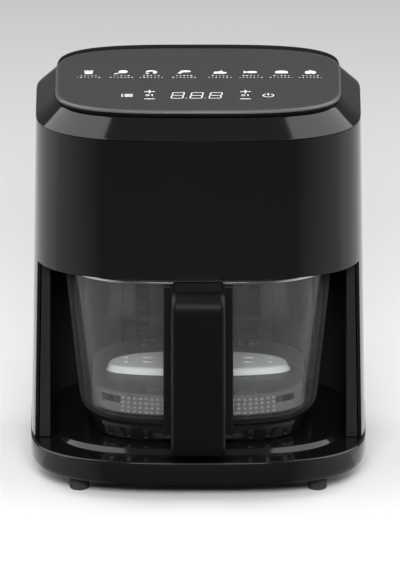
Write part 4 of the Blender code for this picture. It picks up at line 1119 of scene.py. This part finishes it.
def build_grip():
    """C-shaped grip with soft edges all round."""
    bar, arm = 15 * MM, 15 * MM
    bend, foot, inner = 15 * MM, 10 * MM, 8 * MM
    top, low, front, half = GRIP.top, GRIP.bottom, GRIP.front, GRIP.half
    under, over = top - arm, low + arm
    back = front + bar

    def root(z):
        return slope_front(z) - GAP

    side = [(root(under), under), (root(top), top)]
    side += arc((front + bend, top - bend), bend, 90, 180, 14)
    side += arc((front + foot, low + foot), foot, 180, 270, 10)
    side += [(root(low), low), (root(over), over)]
    side += arc((back + inner, over + inner), inner, 270, 180, 8)
    side += arc((back + inner, under - inner), inner, 180, 90, 8)
    bm = bmesh.new()
    prism_into(bm, [(-half, y, z) for y, z in side], (2 * half, 0, 0))
    rims = [edge for edge in bm.edges
            if abs(edge.verts[0].co.x - edge.verts[1].co.x) < 1e-6
            and not all(abs(vert.co.y - root(vert.co.z)) < 0.1 * MM for vert in edge.verts)]
    bmesh.ops.bevel(bm, geom=rims, offset=4.2 * MM, offset_type="OFFSET", segments=6, profile=0.5,
                    affect="EDGES", material=-1, clamp_overlap=True)
    # the grip's darker black is painted shade
    make("loop_grip", bm, "pot", "gloss_black", ["handle_grip"], "grip_black_painted_shade", 50)


# ---------------------------------------------------------------- crisper plate
def plate_cutter(edge, level):
    """Shapes cut out of the crisper plate: its slots, side openings and border holes."""
    cutter = bmesh.new()
    middle = PLATE.middle
    low, high = level - 4 * MM, PLATE.top + 4 * MM
    for side in (-1, 1):
        for row in (-1, 1):
            x, y = side * 39.2 * MM, middle + row * 5.5 * MM
            post_into(cutter, x, y, 4 * MM, 1.3 * MM, low, high, MM)
            post_into(cutter, x * 1.43, y, 1.6 * MM, 1.1 * MM, low, high, 0.8 * MM)
    for side in (-1, 1):
        near, far = sorted((side * 60 * MM, side * 74 * MM))
        for first, last in ((edge.front - 5 * MM, edge.front + 40 * MM),
                            (edge.back - 40 * MM, edge.back + 5 * MM)):
            box_into(cutter, (near, first, level - 9 * MM), (far, last, level - 3.5 * MM), 0.8 * MM)
    for lane in range(2):
        inward = (10 + 8.5 * lane) * MM
        count = 13 - 2 * lane
        for number in range(count):
            x = (number - (count - 1) / 2) * 8.4 * MM
            for y in (edge.front + inward, edge.back - inward):
                post_into(cutter, x, y, 2.4 * MM, 1.6 * MM, low, level + 3 * MM, MM)
    return cutter


def build_plate():
    """Pressed plate: raised slotted plateau, perforated border and a vented skirt."""
    pot = settings().pot
    sheet = 1.5
    top, low, middle = PLATE.top, PLATE.bottom, PLATE.middle
    level = top - 5.5 * MM
    half_depth = pot.plateau_depth / 2
    rise = Outline(pot.plateau_width / 2, middle - half_depth, middle + half_depth, half_depth * 0.7,
                   half_depth * 1.3, 2.4)
    edge = Outline(PLATE.half, PLATE.front, PLATE.back, (BOWL.middle - PLATE.front) * 0.86,
                   (PLATE.back - BOWL.middle) * 0.82)

    def surface(d):
        """The pressed sheet's rings out to the skirt, on its top face or a sheet's thickness down."""
        return ([(rise.grown(-half_depth * 0.4), top - d * MM)]
                + rings(rise, top, (-3.2, -d), (-2.0, -0.2 - d), (-0.9, -0.9 - d),
                        (-0.2 - 0.3 * d, -2.2 - 0.6 * d))
                + rings(rise, level, (0.6 - d, 0.9 - 0.4 * d), (1.4 - d, 0.25 - d), (2.6 - d, -d),
                        (5.0, -d), (5.8, -0.9 - d), (7.0, -0.9 - d), (7.8, -d))
                + rings(edge, level, (-5.0 - d, -d), (-3.4 - d, -0.1 - d), (-2.2 - d, -0.6 - d),
                        (-1.3 - d, -1.8 - d), (-0.9 - d, -4)))

    sections = surface(0.0) + rings(edge, low, (-0.1, 0.4), (-0.5, 0), (0.2 - sheet, 0), (-sheet, 0.5))
    sections += surface(sheet)[::-1]
    piece = make("crisper_tray", skin(sections, 144, closed=False), "crisper", "coated_plate",
                 ["crisper_plate"])
    cut_away(piece, plate_cutter(edge, level))
    piece.data.set_sharp_from_angle(angle=math.radians(40))
    dots = bmesh.new()
    rows, reach = 4, 58 * MM
    face = edge.grown(-0.5 * MM)
    size = Matrix.Diagonal((1.55 * MM, 0.7 * MM, 1.25 * MM, 1))
    for row in range(rows):
        z = low + (2.0 + row * 3.5) * MM
        for number in range(pot.dots):
            x = reach * (2 * number / (pot.dots - 1) - 1)
            for y in (face.front_at(x), face.back_at(x)):
                bmesh.ops.create_icosphere(dots, subdivisions=1, radius=1,
                                           matrix=Matrix.Translation((x, y, z)) @ size)
    # the dots' pale grey is a painted glint
    make("skirt_dots", dots, "crisper", "coated_plate", (), "dots_painted_glint", 70)


# ---------------------------------------------------------------- finishes of the frame's own pieces
def dress_frame():
    """Gives every piece that stays from the frame the finish of its slot."""
    for row in frame["record"]["subparts"]:
        node = frame["nodes"][row["node"]]
        finish = finish_of(row["material_slot"])
        if not node.data.materials:
            node.data.materials.append(finish)
        for slot in node.material_slots:
            slot.material = finish


# ---------------------------------------------------------------- stage
CAMERA_DISTANCE = 14.0              # metres
CAMERA_TILT = 17.2                  # degrees above the horizon
VIEW_SPAN = 0.4389                  # metres across the long side of the view, at the object
AIM = (0.0013, HEAD_FRONT, 0.1704)  # what the middle of the view looks at
SENSOR = 36                         # millimetres
FLOOR_TONE = 0.60
CARD_TONE = 0.04                    # the dark middle of the card that gloss mirrors, a painted dark reflection
CARD_REACH = 1.6                    # metres to each side and to the front
CARD_START = 0.05                   # metres in front of the object's middle
CARD_DARK = 0.66                    # metres sideways, for each metre forward, that stay dark
CARD_FADE = 0.5                     # how slowly the card grows paler past that
CARD_PALE = 0.86                    # share of the floor's tone that it comes to
FRONT_LAMP = (0, -1.7, 1.0)


def look(holder, spot, aim):
    """Puts a lamp or the camera at a spot, facing a point."""
    holder.location = spot
    holder.rotation_euler = (Vector(aim) - Vector(spot)).to_track_quat("-Z", "Y").to_euler()
    bpy.context.scene.collection.objects.link(holder)


def softbox(name, spot, aim, width, height, power):
    """A rectangular lamp aimed at a point."""
    lamp = bpy.data.lights.new(name, "AREA")
    lamp.shape = "RECTANGLE"
    lamp.size = width
    lamp.size_y = height
    lamp.energy = power
    holder = bpy.data.objects.new(name, lamp)
    holder.visible_camera = False
    holder.visible_transmission = False
    look(holder, spot, aim)
    return holder


def build_lamps():
    """Two banks over the sides, a soft front lamp, and a strip that only gloss sees."""
    for side, name in ((-1, "left"), (1, "right")):
        softbox(f"{name}_bank", (side * 1.15, 0.1, 1.15), (0, 0, 0.3), 2.1, 2.0, 29)
    front = softbox("front_box", FRONT_LAMP, (0, 0, 0.12), 0.8, 0.5, 5.2)
    front.visible_glossy = False
    front.data.spread = math.radians(50)
    strip = softbox("front_strip", FRONT_LAMP, (0, 0, 0.1), 1.0, 0.5, 7)
    strip.visible_diffuse = False


def build_floor():
    """Pale floor with a slow cloud in it."""
    bm = bmesh.new()
    bmesh.ops.create_circle(bm, cap_ends=True, segments=96, radius=6.0)
    ground = put("pale_floor", bm)
    paint = Finish("pale_floor")
    cloud = paint.noise(0.6, 2.0)
    paint.set(Base_Color=paint.blend(cloud, (FLOOR_TONE,) * 3, (FLOOR_TONE * 1.06,) * 3),
              Roughness=cloud * 0.1 + 0.7)
    ground.data.materials.append(paint.material)


def build_card():
    """Card on the floor that only gloss sees, a painted reflection: dark in the middle, as pale as the
    floor at the sides.
    """
    bm = bmesh.new()
    box_into(bm, (-CARD_REACH, -CARD_REACH, 2 * MM), (CARD_REACH, -CARD_START, 3 * MM))
    card = put("graded_card", bm)
    reflection_paint = Finish("card_painted_reflection")
    across = reflection_paint.coordinate("X").math("ABSOLUTE", 0.0)
    along = reflection_paint.coordinate("Y").math("ABSOLUTE", 0.0)
    past = (across.math("DIVIDE", along) - CARD_DARK).math("MAXIMUM", 0.0)
    share = past.math("DIVIDE", past + CARD_FADE) * CARD_PALE
    # painted reflection: the card's graded tone is seen only in gloss
    reflection_paint.set(Base_Color=reflection_paint.blend(share, (CARD_TONE,) * 3, (FLOOR_TONE,) * 3), Roughness=1.0)
    card.data.materials.append(reflection_paint.material)
    card.visible_camera = False
    card.visible_diffuse = False
    card.visible_transmission = False
    card.visible_shadow = False


def build_camera():
    """A long lens that looks a little down on the front."""
    lens = bpy.data.cameras.new("camera")
    lens.sensor_width = SENSOR
    lens.lens = SENSOR * CAMERA_DISTANCE / VIEW_SPAN
    tilt = math.radians(CAMERA_TILT)
    camera = bpy.data.objects.new("camera", lens)
    spot = Vector(AIM) + Vector((0, -math.cos(tilt), math.sin(tilt))) * CAMERA_DISTANCE
    look(camera, spot, AIM)
    bpy.context.scene.camera = camera


def build_stage():
    """Pale floor, soft studio lamps, and the camera."""
    build_floor()
    build_lamps()
    build_card()
    world = bpy.data.worlds.new("studio")
    world.use_nodes = True
    sky = world.node_tree.nodes["Background"].inputs
    sky["Color"].default_value = (1, 1, 1, 1)
    sky["Strength"].default_value = 0.18
    scene = bpy.context.scene
    scene.world = world
    scene.view_settings.view_transform = "Standard"
    build_camera()


# ---------------------------------------------------------------- operators
class FRYER_OT_shell(bpy.types.Operator):
    """Build the head skirt, sides and back of the housing"""

    bl_idname = "fryer.shell"
    bl_label = "Shell"

    def execute(self, context):
        build_shell()
        return {"FINISHED"}


class FRYER_OT_top(bpy.types.Operator):
    """Build the shoulder ring, the bezel and the touch panel"""

    bl_idname = "fryer.top"
    bl_label = "Top and Panel"

    def execute(self, context):
        build_shoulder()
        build_bezel()
        build_panel()
        return {"FINISHED"}


class FRYER_OT_prints(bpy.types.Operator):
    """Print the symbols on the panel and light the digits"""

    bl_idname = "fryer.prints"
    bl_label = "Panel Symbols"

    def execute(self, context):
        build_prints()
        return {"FINISHED"}


class FRYER_OT_base(bpy.types.Operator):
    """Build the base tray and its feet"""

    bl_idname = "fryer.base"
    bl_label = "Base and Feet"

    def execute(self, context):
        build_base()
        build_feet()
        return {"FINISHED"}


class FRYER_OT_cavity(bpy.types.Operator):
    """Build the cavity wall and its back ribs"""

    bl_idname = "fryer.cavity"
    bl_label = "Cavity"

    def execute(self, context):
        build_cavity()
        return {"FINISHED"}


class FRYER_OT_rear(bpy.types.Operator):
    """Build the rear louvres, the cord gland and the wall spacers"""

    bl_idname = "fryer.rear"
    bl_label = "Rear Fittings"

    def execute(self, context):
        build_rear_fittings()
        return {"FINISHED"}


class FRYER_OT_pot(bpy.types.Operator):
    """Build the glass, its band and its black holder"""

    bl_idname = "fryer.pot"
    bl_label = "Pot"

    def execute(self, context):
        build_bowl()
        build_rim_band()
        build_holder()
        return {"FINISHED"}


class FRYER_OT_handle(bpy.types.Operator):
    """Build the handle's plate and grip"""

    bl_idname = "fryer.handle"
    bl_label = "Handle"

    def execute(self, context):
        build_bracket()
        build_grip()
        return {"FINISHED"}


class FRYER_OT_plate(bpy.types.Operator):
    """Build the crisper plate"""

    bl_idname = "fryer.plate"
    bl_label = "Crisper Plate"

    def execute(self, context):
        build_plate()
        return {"FINISHED"}


class FRYER_OT_finishes(bpy.types.Operator):
    """Give the frame's own pieces their finishes"""

    bl_idname = "fryer.finishes"
    bl_label = "Inner Finishes"

    def execute(self, context):
        dress_frame()
        return {"FINISHED"}


class FRYER_OT_stage(bpy.types.Operator):
    """Set up the floor, the lamps and the camera"""

    bl_idname = "fryer.stage"
    bl_label = "Stage"

    def execute(self, context):
        build_stage()
        return {"FINISHED"}


STEPS = ("shell", "top", "prints", "base", "cavity", "rear", "pot", "handle", "plate", "finishes", "stage")


class FRYER_PT_panel(bpy.types.Panel):
    """Lists the build steps and the settings"""

    bl_idname = "FRYER_PT_panel"
    bl_label = "Air Fryer"
    bl_space_type = "VIEW_3D"
    bl_region_type = "UI"
    bl_category = "Air Fryer"

    def draw(self, context):
        for step in STEPS:
            self.layout.operator(f"fryer.{step}")
        sizes = context.scene.air_fryer
        for group in (sizes.body, sizes.panel, sizes.pot):
            box = self.layout.box()
            for name in group.__annotations__:
                box.prop(group, name)


CLASSES = (
    FryerBody, FryerPanel, FryerPot, FryerSettings, FRYER_OT_shell, FRYER_OT_top, FRYER_OT_prints,
    FRYER_OT_base, FRYER_OT_cavity, FRYER_OT_rear, FRYER_OT_pot, FRYER_OT_handle, FRYER_OT_plate,
    FRYER_OT_finishes, FRYER_OT_stage, FRYER_PT_panel,
)


def register():
    for cls in CLASSES:
        bpy.utils.register_class(cls)
    bpy.types.Scene.air_fryer = PointerProperty(type=FryerSettings)


def unregister():
    del bpy.types.Scene.air_fryer
    for cls in reversed(CLASSES):
        bpy.utils.unregister_class(cls)


def main():
    register()
    for step in STEPS:
        getattr(bpy.ops.fryer, step)()


if __name__ == "__main__":
    main()
